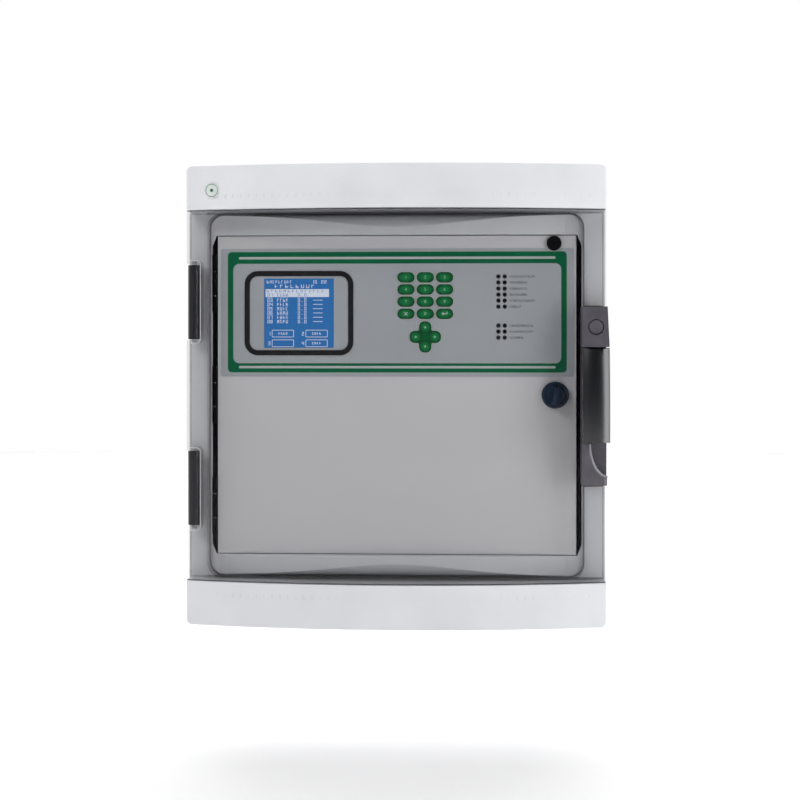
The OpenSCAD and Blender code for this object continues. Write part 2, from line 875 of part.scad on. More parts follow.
module inner_panel() color("silver") {
    mid_x = (panel_x0 + panel_x1) / 2;
    back = panel_y + sheet;
    difference() {
        union() {
            block(panel_x0, panel_x1, panel_y, back, -panel_z, panel_z);
            difference() {
                block(panel_x0, panel_x1, panel_y + 0.1, panel_y + return_d, -panel_z, panel_z);
                block(panel_x0 + 1.5, panel_x1 - 1.5, panel_y, panel_y + 20,
                      -panel_z + 1.5, panel_z - 1.5);
            }
            for (z = PANEL_HINGES) {
                zcyl(knuckle_r, z - 11.7, z + 11.7, panel_axis);
                block(panel_axis[0], panel_x0 + 2, panel_y + 0.2, panel_y + 1.6, z - 11.7, z + 11.7);
            }
            for (x = STUD_XS, z = STUD_ZS) ycyl(1.5, back - 0.5, main_y + 5, x, z);
            for (x = STUD_XS, z = STUD_ZS) ycyl(3, back - 0.5, main_y, x, z);
        }
        for (z = PANEL_HINGES) zcyl(panel_pin_r + run_gap, z - 30, z + 30, panel_axis);
        yplate(lcd_cut, lcd_cut, 1, panel_y - 1, back + 1, lcd_x, lcd_z);
        yplate(keypad_cut_w, keypad_cut_h, 2, panel_y - 1, back + 1, nav_x, keypad_mid_z);
        yplate(lamp_cut_w, lamp_cut_h, 2, panel_y - 1, back + 1, lamp_mid_x, lamp_mid_z);
        ycyl(lock_body_r + 0.1, panel_y - 1, back + 1, lock_x, 0);
        ycyl(buzzer_body_r + 0.1, panel_y - 1, back + 1, buzzer_x, buzzer_z);
    }
}

STUD_XS = [-145, 125];
STUD_ZS = [33, 128];

module overlay() color("darkseagreen") {
    difference() {
        yplate(overlay_w, overlay_h, 2, overlay_y, panel_y, overlay_x, overlay_z);
        yplate(lcd_w, lcd_h, 0.6, overlay_y - 1, panel_y + 1, lcd_x, lcd_z);
        for (i = [0:11]) yext(overlay_y - 1, panel_y + 1) translate(key_at(i)) key_outline(0.3);
        for (i = [0:3]) yext(overlay_y - 1, panel_y + 1) translate(nav_at(i)) nav_outline(0.3);
        for (x = led_xs, z = led_zs) ycyl(led_r + 0.1, overlay_y - 1, panel_y + 1, x, z);
        ycyl(buzzer_flange_r + 0.3, overlay_y - 1, panel_y + 1, buzzer_x, buzzer_flange_z);
    }
}

module lcd_bezel() color("darkslategray") {
    difference() {
        yplate(bezel_w, bezel_h, bezel_r, overlay_y - 0.7, overlay_y, lcd_x, lcd_z);
        yplate(bezel_w - 2 * bezel_line, bezel_h - 2 * bezel_line, bezel_r - bezel_line,
               overlay_y - 2, overlay_y + 1, lcd_x, lcd_z);
    }
}

module lcd_module() color("steelblue") {
    yplate(lcd_module_w, lcd_module_w, 1, panel_y + 0.1, main_y, lcd_x, lcd_z);
}

module leds() color("darkred") {
    for (x = led_xs, z = led_zs) {
        ycyl(led_r, overlay_y - 0.5, main_y - 1, x, z);
        ycyl(led_r + 0.4, main_y - 1, main_y, x, z);
    }
}

module keypad_board() color("darkgreen") {
    front = panel_y + 3.4;
    switch_r = 3;
    switch_t = 0.6;
    yplate(keypad_board_w, keypad_board_h, 1, front, front + board_t, nav_x, keypad_mid_z);
    for (i = [0:11]) ycyl(switch_r, front - switch_t, front, key_at(i)[0], key_at(i)[1]);
    for (i = [0:3]) ycyl(switch_r, front - switch_t, front, nav_at(i)[0], nav_at(i)[1]);
    translate([nav_x, 0, keypad_mid_z])
        each_corner(keypad_board_w / 2 - 5, keypad_board_h / 2 - 5)
            ycyl(2.2, front + board_t, main_y, 0, 0);
}

module main_board() color("darkgreen") {
    difference() {
        block(-155, 135, main_y, main_y + board_t, 24, 138);
        for (x = STUD_XS, z = STUD_ZS) ycyl(1.6, main_y - 1, main_y + 3, x, z);
    }
}

module board_components() color("black") {
    back = main_y + board_t;
    block(-30, -4, back, back + 2.4, 66, 92);
    block(10, 28, back, back + 2, 60, 70);
    block(10, 28, back, back + 2, 78, 88);
    for (i = [0:3]) ycyl(4, back, back + 8, 50 + 11 * i, 110);
    block(-100, -58, back, back + 7, 40, 48);
    block(60, 102, back, back + 7, 40, 48);
    ycyl(10, back, back + 3.2, -60, 112);
}

module board_nuts() color("silver") {
    for (x = STUD_XS, z = STUD_ZS) translate([x, main_y + 4.2, z]) rotate([90, 0, 0])
        difference() {
            cylinder(r = 3.1, h = 2.5, $fn = 6);
            translate([0, 0, -1]) cylinder(r = 1.5, h = 5, $fn = 32);
        }
}

// Panel buzzer: a flanged round case with a sound hole, through the panel.
module buzzer() color("black") {
    difference() {
        union() {
            ycyl(buzzer_flange_r, panel_y - 3, panel_y, buzzer_x, buzzer_flange_z);
            ycyl(buzzer_body_r, panel_y - 1, panel_y + 12, buzzer_x, buzzer_z);
        }
        ycyl(1.6, panel_y - 4, panel_y - 0.5, buzzer_x, buzzer_flange_z);
    }
}

// ---------- quarter-turn lock ----------

module lock_bezel() color("black") {
    difference() {
        union() {
            ycyl(lock_d / 2, panel_y - 4, panel_y, lock_x, 0);
            ycyl(lock_body_r, panel_y - 1, panel_y + 14, lock_x, 0);
        }
        ycyl(lock_body_r + 0.15, panel_y - 5, panel_y - 2, lock_x, 0);
        ycyl(lock_core_r + 0.1, panel_y - 3, panel_y + 15, lock_x, 0);
    }
}

module lock_nut() color("silver") {
    difference() {
        translate([lock_x, panel_y + sheet + 4, 0]) rotate([90, 0, 0]) cylinder(r = 14, h = 4, $fn = 6);
        ycyl(lock_body_r, panel_y, panel_y + 10, lock_x, 0);
    }
}

// Turning core: a round head with a raised wing grip and a square tail.
module lock_core() color("darkslategray") {
    wing_turn = 11;
    half = lock_square / 2;
    ycyl(lock_body_r, panel_y - 6.5, panel_y - 2.05, lock_x, 0);
    ycyl(lock_core_r, panel_y - 2.5, panel_y + cam_y, lock_x, 0);
    block(lock_x - half, lock_x + half, panel_y + 14, panel_y + 18.2, -half, half);
    translate([lock_x, 0, 0]) rotate([0, wing_turn, 0])
        yext(panel_y - 15, panel_y - 6.4) rrect(5, 18, 2.4);
}

module lock_cam() color("silver") {
    half = lock_square / 2;
    arm_w = 12;
    arm_l = 24.6;
    difference() {
        yext(panel_y + cam_y, panel_y + cam_y + cam_t) translate([lock_x, 0]) {
            circle(r = 7.5);
            translate([-arm_w / 2, -arm_l]) square([arm_w, arm_l]);
        }
        block(lock_x - half, lock_x + half, panel_y, panel_y + 20, -half, half);
    }
}

// ---------- keys ----------

module push_key(i) color("darkgreen") {
    yext(overlay_y - key_rise, panel_y + 2) translate(key_at(i)) key_outline(0);
    yext(overlay_y - key_rise - key_dome, overlay_y - key_rise + 0.1)
        translate(key_at(i)) key_outline(-0.45);
}

module nav_key(i) color("darkgreen") {
    yext(overlay_y - key_rise, panel_y + 2) translate(nav_at(i)) nav_outline(0);
    yext(overlay_y - key_rise - key_dome, overlay_y - key_rise + 0.1)
        translate(nav_at(i)) nav_outline(-0.45);
}

back_box();
front_frame();
frame_gasket();
door_seal();
hinge_barrels();
strike_plate();
hinge_stile();
latch_stile();
panel_hinge_pins();
cabinet_screws();
badge_disc();
mounting_plate();
din_rail();
terminal_blocks();
mains_terminal_block();
power_supply();
batteries();
battery_bracket();
relay_board();
relays();
board_connectors();
cable_entry_edging();
door_cover();
door_hinge_pins();
handle_base();
handle_lock();
handle_pin();
handle_spring();
handle_lever();
latch_hook();
inner_panel();
overlay();
lcd_bezel();
lcd_module();
leds();
keypad_board();
main_board();
board_components();
board_nuts();
buzzer();
lock_bezel();
lock_nut();
lock_core();
lock_cam();
for (i = [0:11]) push_key(i);
for (i = [0:3]) nav_key(i);
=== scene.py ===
# %% [markdown]
# # A fire alarm control panel behind a smoked door
# The frame comes from the CAD model: every moulding, hinge and board is already at its real size.
# This file gives each of them the finish of the real material, and adds what is printed on them.
# Lengths are in metres, X is right, Z is up and the front faces -Y.

# %% Load the frame
import math
import random

import bmesh
import bpy
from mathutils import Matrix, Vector


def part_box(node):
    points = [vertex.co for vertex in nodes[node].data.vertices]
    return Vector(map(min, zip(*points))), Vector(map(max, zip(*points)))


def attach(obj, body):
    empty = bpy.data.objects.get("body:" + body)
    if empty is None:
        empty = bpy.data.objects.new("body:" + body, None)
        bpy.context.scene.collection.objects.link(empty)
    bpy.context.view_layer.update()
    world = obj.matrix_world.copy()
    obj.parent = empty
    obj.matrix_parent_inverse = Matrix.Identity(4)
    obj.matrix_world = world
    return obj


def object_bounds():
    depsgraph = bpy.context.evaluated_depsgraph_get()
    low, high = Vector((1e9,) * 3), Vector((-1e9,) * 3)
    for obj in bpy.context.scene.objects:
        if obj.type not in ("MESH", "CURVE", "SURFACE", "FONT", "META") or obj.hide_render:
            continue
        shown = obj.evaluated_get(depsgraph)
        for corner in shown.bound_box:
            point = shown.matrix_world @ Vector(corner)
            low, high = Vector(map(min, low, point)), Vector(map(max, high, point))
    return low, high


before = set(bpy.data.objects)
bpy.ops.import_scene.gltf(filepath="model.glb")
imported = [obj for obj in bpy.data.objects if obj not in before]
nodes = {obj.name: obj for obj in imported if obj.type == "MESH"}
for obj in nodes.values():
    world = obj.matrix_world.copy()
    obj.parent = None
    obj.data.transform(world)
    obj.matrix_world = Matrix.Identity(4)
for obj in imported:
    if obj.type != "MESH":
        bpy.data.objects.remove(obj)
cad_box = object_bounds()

mm = 0.001
print("frame:", len(nodes), "nodes, box", [round(v, 3) for corner in cad_box for v in corner])

# %% [markdown]
# ## Camera
# The cabinet is seen from straight ahead, a little from the right and a little above its middle,
# from about a metre and a half, so its bowed front shows as gently curved top and bottom edges. A
# level camera with a small shift keeps the upright edges parallel.

# %% Camera
EYE_HEIGHT = 51.3 * mm
EYE_DISTANCE = 1.5
EYE_TURN = math.radians(2.5)
LENS_MM, SENSOR_MM = 70.45, 36
SHIFT_X, SHIFT_Y = 0.0075, -0.0713
front_middle = Vector((0.0, cad_box[0][1], 0.0))

camera = bpy.data.objects.new("camera", bpy.data.cameras.new("camera"))
bpy.context.scene.collection.objects.link(camera)
bpy.context.scene.camera = camera
camera.location = front_middle + Vector((math.sin(EYE_TURN) * EYE_DISTANCE,
                                         -math.cos(EYE_TURN) * EYE_DISTANCE, EYE_HEIGHT))
camera.rotation_euler = (math.radians(90), 0, EYE_TURN)
camera.data.sensor_width = SENSOR_MM
camera.data.lens = LENS_MM
camera.data.shift_x, camera.data.shift_y = SHIFT_X, SHIFT_Y
print("camera at", [round(v, 3) for v in camera.location])

# %% [markdown]
# ## Colours
# Every colour below is an sRGB hex value, as a paint chart or a screen picker gives it. Blender
# mixes light in linear values, so one function turns hex into linear.


# %% Hex to linear
def linear(hex_colour):
    """sRGB hex, such as "F1F1F4", to the linear RGBA that shader sockets take."""
    srgb = [int(hex_colour[i:i + 2], 16) / 255 for i in (0, 2, 4)]
    flat = [c / 12.92 if c <= 0.04045 else ((c + 0.055) / 1.055) ** 2.4 for c in srgb]
    return (*flat, 1.0)


# %% [markdown]
# ## Adding nodes
# A material is a chain of nodes. `add` makes one node, sets its options and joins or fills its
# inputs, so a whole material reads from top to bottom. `start` makes an empty material, and
# `dress` gives it to CAD nodes in place of the plain one they came with.


# %% Node helper
def add(tree, kind, inputs=None, **settings):
    """One node with its settings. An input takes a socket, which is linked, or a plain value."""
    made = tree.nodes.new(kind)
    for key, value in settings.items():
        setattr(made, key, value)
    for key, value in (inputs or {}).items():
        if isinstance(value, bpy.types.NodeSocket):
            tree.links.new(value, made.inputs[key])
        else:
            made.inputs[key].default_value = value
    return made


def start(name):
    """An empty material's tree, and the place of each point on the object in metres."""
    material = bpy.data.materials.new(name)
    material.use_nodes = True
    tree = material.node_tree
    tree.nodes.clear()
    return material, tree, add(tree, "ShaderNodeTexCoord").outputs["Object"]


def dress(material, *names):
    """Gives CAD nodes a material in place of the plain one they came with."""
    for name in names:
        nodes[name].data.materials.clear()
        nodes[name].data.materials.append(material)
    print("dressed", ", ".join(names), "in", material.name)


# %% [markdown]
# ## Moulded plastic
# Most of the cabinet is injection moulded. The mould's cavity is spark eroded, which prints a fine
# matt grain on the plastic, and the resin never mixes quite evenly, so its tone drifts a little
# over several centimetres. One function makes this finish in any colour: two near tones, a
# roughness that wanders with them, and fine bumps. The real grain is about 0.2 mm and is drawn at
# 0.8 mm, so that it shows.


# %% Moulded plastic
NOISE_LOW, NOISE_HIGH = 0.3, 0.7  # nearly all of a noise's values lie between these
GRAIN = 0.8 * mm


def moulded(name, dark, light, roughness, drift_mm=12, depth_mm=0.04, **sockets):
    """Spark-eroded plastic whose tone drifts over drift_mm, with grain depth_mm deep."""
    material, tree, place = start(name)
    drift = add(tree, "ShaderNodeTexNoise",
                {"Vector": place, "Scale": 1 / (drift_mm * mm), "Detail": 3})
    tone = add(tree, "ShaderNodeValToRGB", {"Fac": drift.outputs["Fac"]})
    tone.color_ramp.elements[0].position = NOISE_LOW
    tone.color_ramp.elements[0].color = linear(dark)
    tone.color_ramp.elements[1].position = NOISE_HIGH
    tone.color_ramp.elements[1].color = linear(light)
    gloss = add(tree, "ShaderNodeMapRange",
                {"Value": drift.outputs["Fac"], "From Min": NOISE_LOW, "From Max": NOISE_HIGH,
                 "To Min": roughness * 0.88, "To Max": roughness * 1.12})
    sparks = add(tree, "ShaderNodeTexNoise", {"Vector": place, "Scale": 1 / GRAIN, "Detail": 4})
    bumps = add(tree, "ShaderNodeBump",
                {"Height": sparks.outputs["Fac"], "Distance": depth_mm * mm, "Strength": 0.4})
    shader = add(tree, "ShaderNodeBsdfPrincipled",
                 {"Base Color": tone.outputs["Color"], "Roughness": gloss.outputs["Result"],
                  "Normal": bumps.outputs["Normal"], **sockets})
    add(tree, "ShaderNodeOutputMaterial", {"Surface": shader.outputs["BSDF"]})
    return material


# %% [markdown]
# The back box and the front frame are white ABS, slightly cool. The hinge barrels and the
# display's bezel are glass-filled nylon, nearly black. The handle's base is the same smoke grey as
# the door, but opaque. The door's hinge pins are natural white acetal, which runs well in nylon. A
# plastic's index of refraction sets how strongly it mirrors, so each resin has its own.

# %% White, charcoal and graphite mouldings
ABS = {"IOR": 1.54}
NYLON = {"IOR": 1.53}
ACETAL = {"IOR": 1.48}

dress(moulded("abs_spark_grain_white", "DCDDE1", "E3E4E8", 0.42, drift_mm=60, **ABS),
      "back_box", "front_frame")
dress(moulded("nylon_glass_filled_charcoal", "161419", "1F1D22", 0.36, drift_mm=1.4, **NYLON),
      "hinge_barrels", "lcd_bezel")
dress(moulded("abs_spark_grain_graphite", "4B4950", "57545C", 0.36, **ABS),
      "handle_base", "handle_lock")
dress(moulded("acetal_natural_white", "C9C9CB", "D5D5D6", 0.35, drift_mm=8, **ACETAL),
      "door_hinge_pins")

# %% [markdown]
# ## Polished lever and lacquered lock
# The lever's mould is polished, and the moulding has a clear hard coat, so it mirrors the room in
# one long highlight. The lock is die-cast zinc under dark lacquer. A coat over the base gives
# both.

# %% Lever and lock
HARD_COAT = {"Coat Weight": 1.0, "Coat IOR": 1.75, "Coat Roughness": 0.27,
             "Coat Tint": linear("DFE2F5"), "Specular IOR Level": 0.1}
LACQUER = {"IOR": 1.5, "Coat Weight": 0.5, "Coat Roughness": 0.12}
dress(moulded("abs_polished_blue_black", "030509", "07090F", 0.4, drift_mm=18, depth_mm=0.005,
              **HARD_COAT, **ABS), "handle_lever")
dress(moulded("zinc_die_cast_dark_lacquer", "0A2038", "143452", 0.3, **LACQUER),
      "lock_bezel", "lock_core")

# %% [markdown]
# ## The smoked door
# The door is clear polycarbonate with a smoke tint, polished by its mould. Light passes the front
# and the back of its 3 mm wall, and each face holds some of it back, so a plain alpha on the two
# faces darkens what lies behind, and the door's edges, where a ray meets more faces, come out
# darker. Alpha and colour are the same all over, which is how the real tint is. The finest detail
# here is the polish, a slight waviness some 30 mm long left by the flow of the melt.

# %% Smoked polycarbonate
POLYCARBONATE = {"IOR": 1.585}
smoked, tree, place = start("polycarbonate_smoked_polished")
flow = add(tree, "ShaderNodeTexNoise", {"Vector": place, "Scale": 1 / (30 * mm), "Detail": 1})
waves = add(tree, "ShaderNodeBump",
            {"Height": flow.outputs["Fac"], "Distance": 0.15 * mm, "Strength": 0.5})
shader = add(tree, "ShaderNodeBsdfPrincipled",
             {"Base Color": linear("0D0C10"), "Roughness": 0.07, "Alpha": 0.13,
              "Normal": waves.outputs["Normal"], **POLYCARBONATE})
add(tree, "ShaderNodeOutputMaterial", {"Surface": shader.outputs["BSDF"]})
smoked.surface_render_method = "BLENDED"
dress(smoked, "door_cover")

# %% [markdown]
# ## Coated steel
# The inner panel is sheet steel with a light grey powder coat. The powder melts and dries to a
# faint orange peel about 1.5 mm across. The uprights beside it have the same coat in black.


# %% Powder coat
def powder_coated(name, dark, light, roughness, **sockets):
    """Baked powder with orange peel; its tone drifts over 90 mm."""
    material, tree, place = start(name)
    cloud = add(tree, "ShaderNodeTexNoise", {"Vector": place, "Scale": 1 / (90 * mm), "Detail": 3})
    tone = add(tree, "ShaderNodeValToRGB", {"Fac": cloud.outputs["Fac"]})
    tone.color_ramp.elements[0].color = linear(dark)
    tone.color_ramp.elements[1].color = linear(light)
    peel = add(tree, "ShaderNodeTexNoise", {"Vector": place, "Scale": 1 / (1.5 * mm), "Detail": 2})
    bumps = add(tree, "ShaderNodeBump",
                {"Height": peel.outputs["Fac"], "Distance": 0.08 * mm, "Strength": 0.4})
    shader = add(tree, "ShaderNodeBsdfPrincipled",
                 {"Base Color": tone.outputs["Color"], "Roughness": roughness, "IOR": 1.5,
                  "Normal": bumps.outputs["Normal"], **sockets})
    add(tree, "ShaderNodeOutputMaterial", {"Surface": shader.outputs["BSDF"]})
    return material


dress(powder_coated("steel_powder_coat_light_grey", "DCDBDF", "E4E3E6", 0.5), "inner_panel")
coat_black = powder_coated("steel_powder_coat_black", "030204", "070608", 0.6,
                           **{"Specular IOR Level": 0.08})
dress(coat_black, "hinge_stile", "latch_stile")

# %% [markdown]
# The knuckles that the panel swings on are welded to its left edge and are black like the
# uprights. They belong to the panel's own piece, so its faces beyond that edge take a second
# material slot.

# %% Black knuckles
KNUCKLE_EDGE = -177.3 * mm
panel_mesh = nodes["inner_panel"].data
panel_mesh.materials.append(coat_black)
knuckles = [face for face in panel_mesh.polygons if face.center.x < KNUCKLE_EDGE]
for face in knuckles:
    face.material_index = 1
print(len(knuckles), "knuckle faces are black")

# %% [markdown]
# ## Bare metal
# Hidden metalwork is zinc plated, and zinc freezes in flat crystals called spangle, some 9 mm
# across. Voronoi cells draw them. Pins and springs are ground steel, and the power supply's case
# is brushed aluminium: noise stretched along one axis draws the scratches of both.


# %% Plated and ground metal
def bare_metal(name, dark, light, roughness, cell_mm, stretch):
    """Metal in cells of two tones; a small number in stretch draws long scratches that way."""
    material, tree, place = start(name)
    cells = add(tree, "ShaderNodeTexVoronoi", {"Vector": place, "Scale": 1 / (cell_mm * mm)})
    tone = add(tree, "ShaderNodeValToRGB", {"Fac": cells.outputs["Color"]})
    tone.color_ramp.elements[0].color = linear(dark)
    tone.color_ramp.elements[1].color = linear(light)
    along = add(tree, "ShaderNodeMapping", {"Vector": place, "Scale": stretch})
    marks = add(tree, "ShaderNodeTexNoise",
                {"Vector": along.outputs["Vector"], "Scale": 1 / (0.6 * mm), "Detail": 3})
    gloss = add(tree, "ShaderNodeMapRange",
                {"Value": marks.outputs["Fac"], "From Min": NOISE_LOW, "From Max": NOISE_HIGH,
                 "To Min": roughness * 0.8, "To Max": roughness * 1.3})
    bumps = add(tree, "ShaderNodeBump",
                {"Height": marks.outputs["Fac"], "Distance": 0.02 * mm, "Strength": 0.3})
    shader = add(tree, "ShaderNodeBsdfPrincipled",
                 {"Base Color": tone.outputs["Color"], "Metallic": 1.0,
                  "Roughness": gloss.outputs["Result"], "Normal": bumps.outputs["Normal"]})
    add(tree, "ShaderNodeOutputMaterial", {"Surface": shader.outputs["BSDF"]})
    return material


EVEN, ALONG_Z, ALONG_X = (1, 1, 1), (1, 1, 0.05), (0.04, 1, 1)
dress(bare_metal("steel_zinc_plated_spangle", "A4A8AB", "C9CCCD", 0.34, 9, EVEN),
      "strike_plate", "mounting_plate", "din_rail", "battery_bracket", "cabinet_screws",
      "board_nuts", "lock_nut", "lock_cam", "latch_hook")
dress(bare_metal("steel_ground_bright", "C0C0C3", "CBCBCD", 0.22, 3, ALONG_Z),
      "panel_hinge_pins", "handle_pin", "handle_spring")
dress(bare_metal("aluminium_sheet_brushed", "BDBFC2", "C9CBCE", 0.3, 20, ALONG_X), "power_supply")

# %% [markdown]
# ## Rubber and foam
# Rubber is moulded like plastic, but is matt, and dust clings to it as paler specks. The foam
# gasket between the two halves of the cabinet has open cells, drawn as deeper bumps.

# %% Rubber and foam
dress(moulded("rubber_epdm_black", "0E0D0F", "1A191B", 0.7, drift_mm=1, **{"IOR": 1.52}),
      "cable_entry_edging")
dress(moulded("rubber_silicone_grey", "85838A", "918F96", 0.6, drift_mm=1, **{"IOR": 1.43}),
      "door_seal")
dress(moulded("foam_polyurethane_grey", "5D5E61", "76777A", 0.85, drift_mm=0.8, depth_mm=0.2),
      "frame_gasket")

# %% [markdown]
# ## Equipment inside the box
# These show once the doors are open: polyamide terminals, sealed batteries in grained ABS, relays
# in tinted polycarbonate caps and black epoxy chips. The buzzer, in the same black, shows at all
# times.

# %% Terminals, batteries, relays, chips, buzzer
dress(moulded("polyamide_terminal_grey", "868C8E", "989EA0", 0.5, drift_mm=3, **NYLON),
      "terminal_blocks", "mains_terminal_block")
dress(moulded("abs_battery_case_charcoal", "242529", "313237", 0.42, drift_mm=5, depth_mm=0.08,
              **ABS), "batteries")
dress(moulded("polycarbonate_relay_blue", "1B387F", "264898", 0.3, drift_mm=6, **POLYCARBONATE),
      "relays")
dress(moulded("polyamide_connector_green", "287D43", "379657", 0.45, drift_mm=4, **NYLON),
      "board_connectors")
EPOXY = {"IOR": 1.55}
dress(moulded("epoxy_moulded_black", "030304", "08080A", 0.4, **EPOXY), "board_components")
dress(moulded("epoxy_sounder_black", "020203", "060608", 0.5, **{"Specular IOR Level": 0.15}),
      "buzzer")

# %% [markdown]
# ## Circuit boards
# A board is glass and epoxy with copper tracks under green lacquer, the solder mask. Lacquer over
# copper is lighter than lacquer over bare board, so a brick pattern with thin pale joints, 14 mm
# long, reads as tracks.

# %% Solder mask
mask, tree, place = start("fr4_green_solder_mask")
upright = add(tree, "ShaderNodeMapping", {"Vector": place, "Rotation": (math.radians(90), 0, 0)})
tracks = add(tree, "ShaderNodeTexBrick",
             {"Vector": upright.outputs["Vector"], "Scale": 1 / (14 * mm), "Mortar Size": 0.03,
              "Color1": linear("0E5531"), "Color2": linear("0B4A2A"), "Mortar": linear("2B7B50")},
             offset=0.37)
ridge = add(tree, "ShaderNodeBump", {"Height": tracks.outputs["Fac"], "Distance": 0.04 * mm})
shader = add(tree, "ShaderNodeBsdfPrincipled",
             {"Base Color": tracks.outputs["Color"], "Roughness": 0.28, "IOR": 1.55,
              "Coat Weight": 0.4, "Coat Roughness": 0.15, "Normal": ridge.outputs["Normal"]})
add(tree, "ShaderNodeOutputMaterial", {"Surface": shader.outputs["BSDF"]})
dress(mask, "relay_board", "main_board", "keypad_board")

# %% [markdown]
# ## Film and inks
# The overlay is polyester film with a fine velvet texture, screen printed. A screen lays ink
# through a mesh, so a printed patch carries a faint weave of lighter dots. The mesh is 0.1 mm and
# is drawn at 0.5 mm. The film itself is printed all over in a cool grey, so it has the same
# finish.


# %% Screen printing
MESH_PITCH = 0.5 * mm


def screen_printed(name, dark, light, roughness=0.36, **sockets):
    """Ink or film with a weave of lighter dots; its tone drifts over 40 mm."""
    material, tree, place = start(name)
    cloud = add(tree, "ShaderNodeTexNoise", {"Vector": place, "Scale": 1 / (40 * mm), "Detail": 2})
    weave = add(tree, "ShaderNodeTexVoronoi",
                {"Vector": place, "Scale": 1 / MESH_PITCH, "Randomness": 0.2})
    both = add(tree, "ShaderNodeMath", {0: weave.outputs["Distance"], 1: cloud.outputs["Fac"]},
               operation="MULTIPLY")
    tone = add(tree, "ShaderNodeValToRGB", {"Fac": both.outputs["Value"]})
    tone.color_ramp.elements[0].color = linear(light)
    tone.color_ramp.elements[1].color = linear(dark)
    tone.color_ramp.elements[1].position = 0.5
    bumps = add(tree, "ShaderNodeBump",
                {"Height": weave.outputs["Distance"], "Distance": 0.01 * mm, "Strength": 0.3})
    shader = add(tree, "ShaderNodeBsdfPrincipled",
                 {"Base Color": tone.outputs["Color"], "Roughness": roughness, "IOR": 1.5,
                  "Normal": bumps.outputs["Normal"], **sockets})
    add(tree, "ShaderNodeOutputMaterial", {"Surface": shader.outputs["BSDF"]})
    return material


dress(screen_printed("polyester_film_cool_grey", "B2B7BD", "BDC2C8"), "overlay")
green_ink = screen_printed("screen_ink_green", "006642", "007049", **{"Specular IOR Level": 0.3})
pale_ink = screen_printed("screen_ink_pale", "C3CAC8", "D0D6D4")
dark_ink = screen_printed("screen_ink_dark", "25272C", "303238")
halo_ink = screen_printed("screen_ink_halo", "A9B5B0", "B5C0BB")

# %% [markdown]
# ## Keys and lamps
# The film is embossed into a low dome over each key. A dome catches light in its middle, so the
# green brightens there: a round gradient in each key's own box draws it. The lamps are unlit, and
# their clear epoxy lenses look nearly black.

# %% Embossed keys, lamp lenses
key_film, tree, place = start("embossed_film_key_green")
own_box = add(tree, "ShaderNodeTexCoord").outputs["Generated"]
centred = add(tree, "ShaderNodeMapping",
              {"Vector": own_box, "Location": (-1, 0, -1), "Scale": (2, 0, 2)})
round_off = add(tree, "ShaderNodeTexGradient", {"Vector": centred.outputs["Vector"]},
                gradient_type="SPHERICAL")
dome = add(tree, "ShaderNodeValToRGB", {"Fac": round_off.outputs["Fac"]})
dome.color_ramp.elements[0].color = linear("034A26")
dome.color_ramp.elements[1].color = linear("018A48")
dome.color_ramp.elements[1].position = 0.6
velvet = add(tree, "ShaderNodeTexNoise", {"Vector": place, "Scale": 1 / (0.8 * mm), "Detail": 2})
bumps = add(tree, "ShaderNodeBump",
            {"Height": velvet.outputs["Fac"], "Distance": 0.02 * mm, "Strength": 0.3})
shader = add(tree, "ShaderNodeBsdfPrincipled",
             {"Base Color": dome.outputs["Color"], "Roughness": 0.3, "IOR": 1.6,
              "Coat Weight": 0.4, "Coat Roughness": 0.12, "Normal": bumps.outputs["Normal"]})
add(tree, "ShaderNodeOutputMaterial", {"Surface": shader.outputs["BSDF"]})
KEYS = [name for name in nodes if name.startswith("key_")]
dress(key_film, *KEYS)
pad_green = screen_printed("embossed_film_pad_green", "026034", "03703C", 0.3)
dress(moulded("epoxy_lamp_lens_unlit", "15171C", "22242A", 0.2, drift_mm=2,
              **{"Coat Weight": 0.5, "Coat Roughness": 0.05}, **EPOXY), "leds")

# %% [markdown]
# ## The display
# The display is a liquid crystal panel lit from behind, blue with pale dots. Its light is a low
# emission on top of the ordinary colour. It has dot rows about 0.54 mm apart, drawn by two crossed
# waves that dim the glow slightly between the dots.


# %% Display glass
DOT_PITCH = 0.54 * mm
WAVE_UNIT = 0.314  # a wave texture of this scale repeats once per metre
GLOW = 0.3


def display(name, dark, light):
    """Backlit dots of one colour."""
    material, tree, place = start(name)
    rows = add(tree, "ShaderNodeTexWave", {"Vector": place, "Scale": WAVE_UNIT / DOT_PITCH},
               bands_direction="Z")
    columns = add(tree, "ShaderNodeTexWave", {"Vector": place, "Scale": WAVE_UNIT / DOT_PITCH},
                  bands_direction="X")
    dots = add(tree, "ShaderNodeMath", {0: rows.outputs["Fac"], 1: columns.outputs["Fac"]},
               operation="MULTIPLY")
    tone = add(tree, "ShaderNodeValToRGB", {"Fac": dots.outputs["Value"]})
    tone.color_ramp.elements[0].color = linear(dark)
    tone.color_ramp.elements[1].color = linear(light)
    shader = add(tree, "ShaderNodeBsdfPrincipled",
                 {"Base Color": tone.outputs["Color"], "Emission Color": tone.outputs["Color"],
                  "Emission Strength": GLOW, "Roughness": 0.25, "IOR": 1.5})
    add(tree, "ShaderNodeOutputMaterial", {"Surface": shader.outputs["BSDF"]})
    return material


display_blue = display("lcd_backlit_blue", "2F6DB0", "3B7FC2")
lit = display("lcd_dots_lit", "D3DCEC", "E9EDF5")
dress(display_blue, "lcd_module")

# %% [markdown]
# ## Soft edges
# No moulding has a knife edge, and a thin bright line along each edge is what makes plastic look
# real. The CAD faces arrive as separate patches, so they are first welded, then each sharp edge is
# cut to a narrow round, and last the shading is weighted so that flat faces stay flat.


# %% Rounded edges
WELD_REACH = 0.002 * mm
SHARP_ANGLE = math.radians(40)


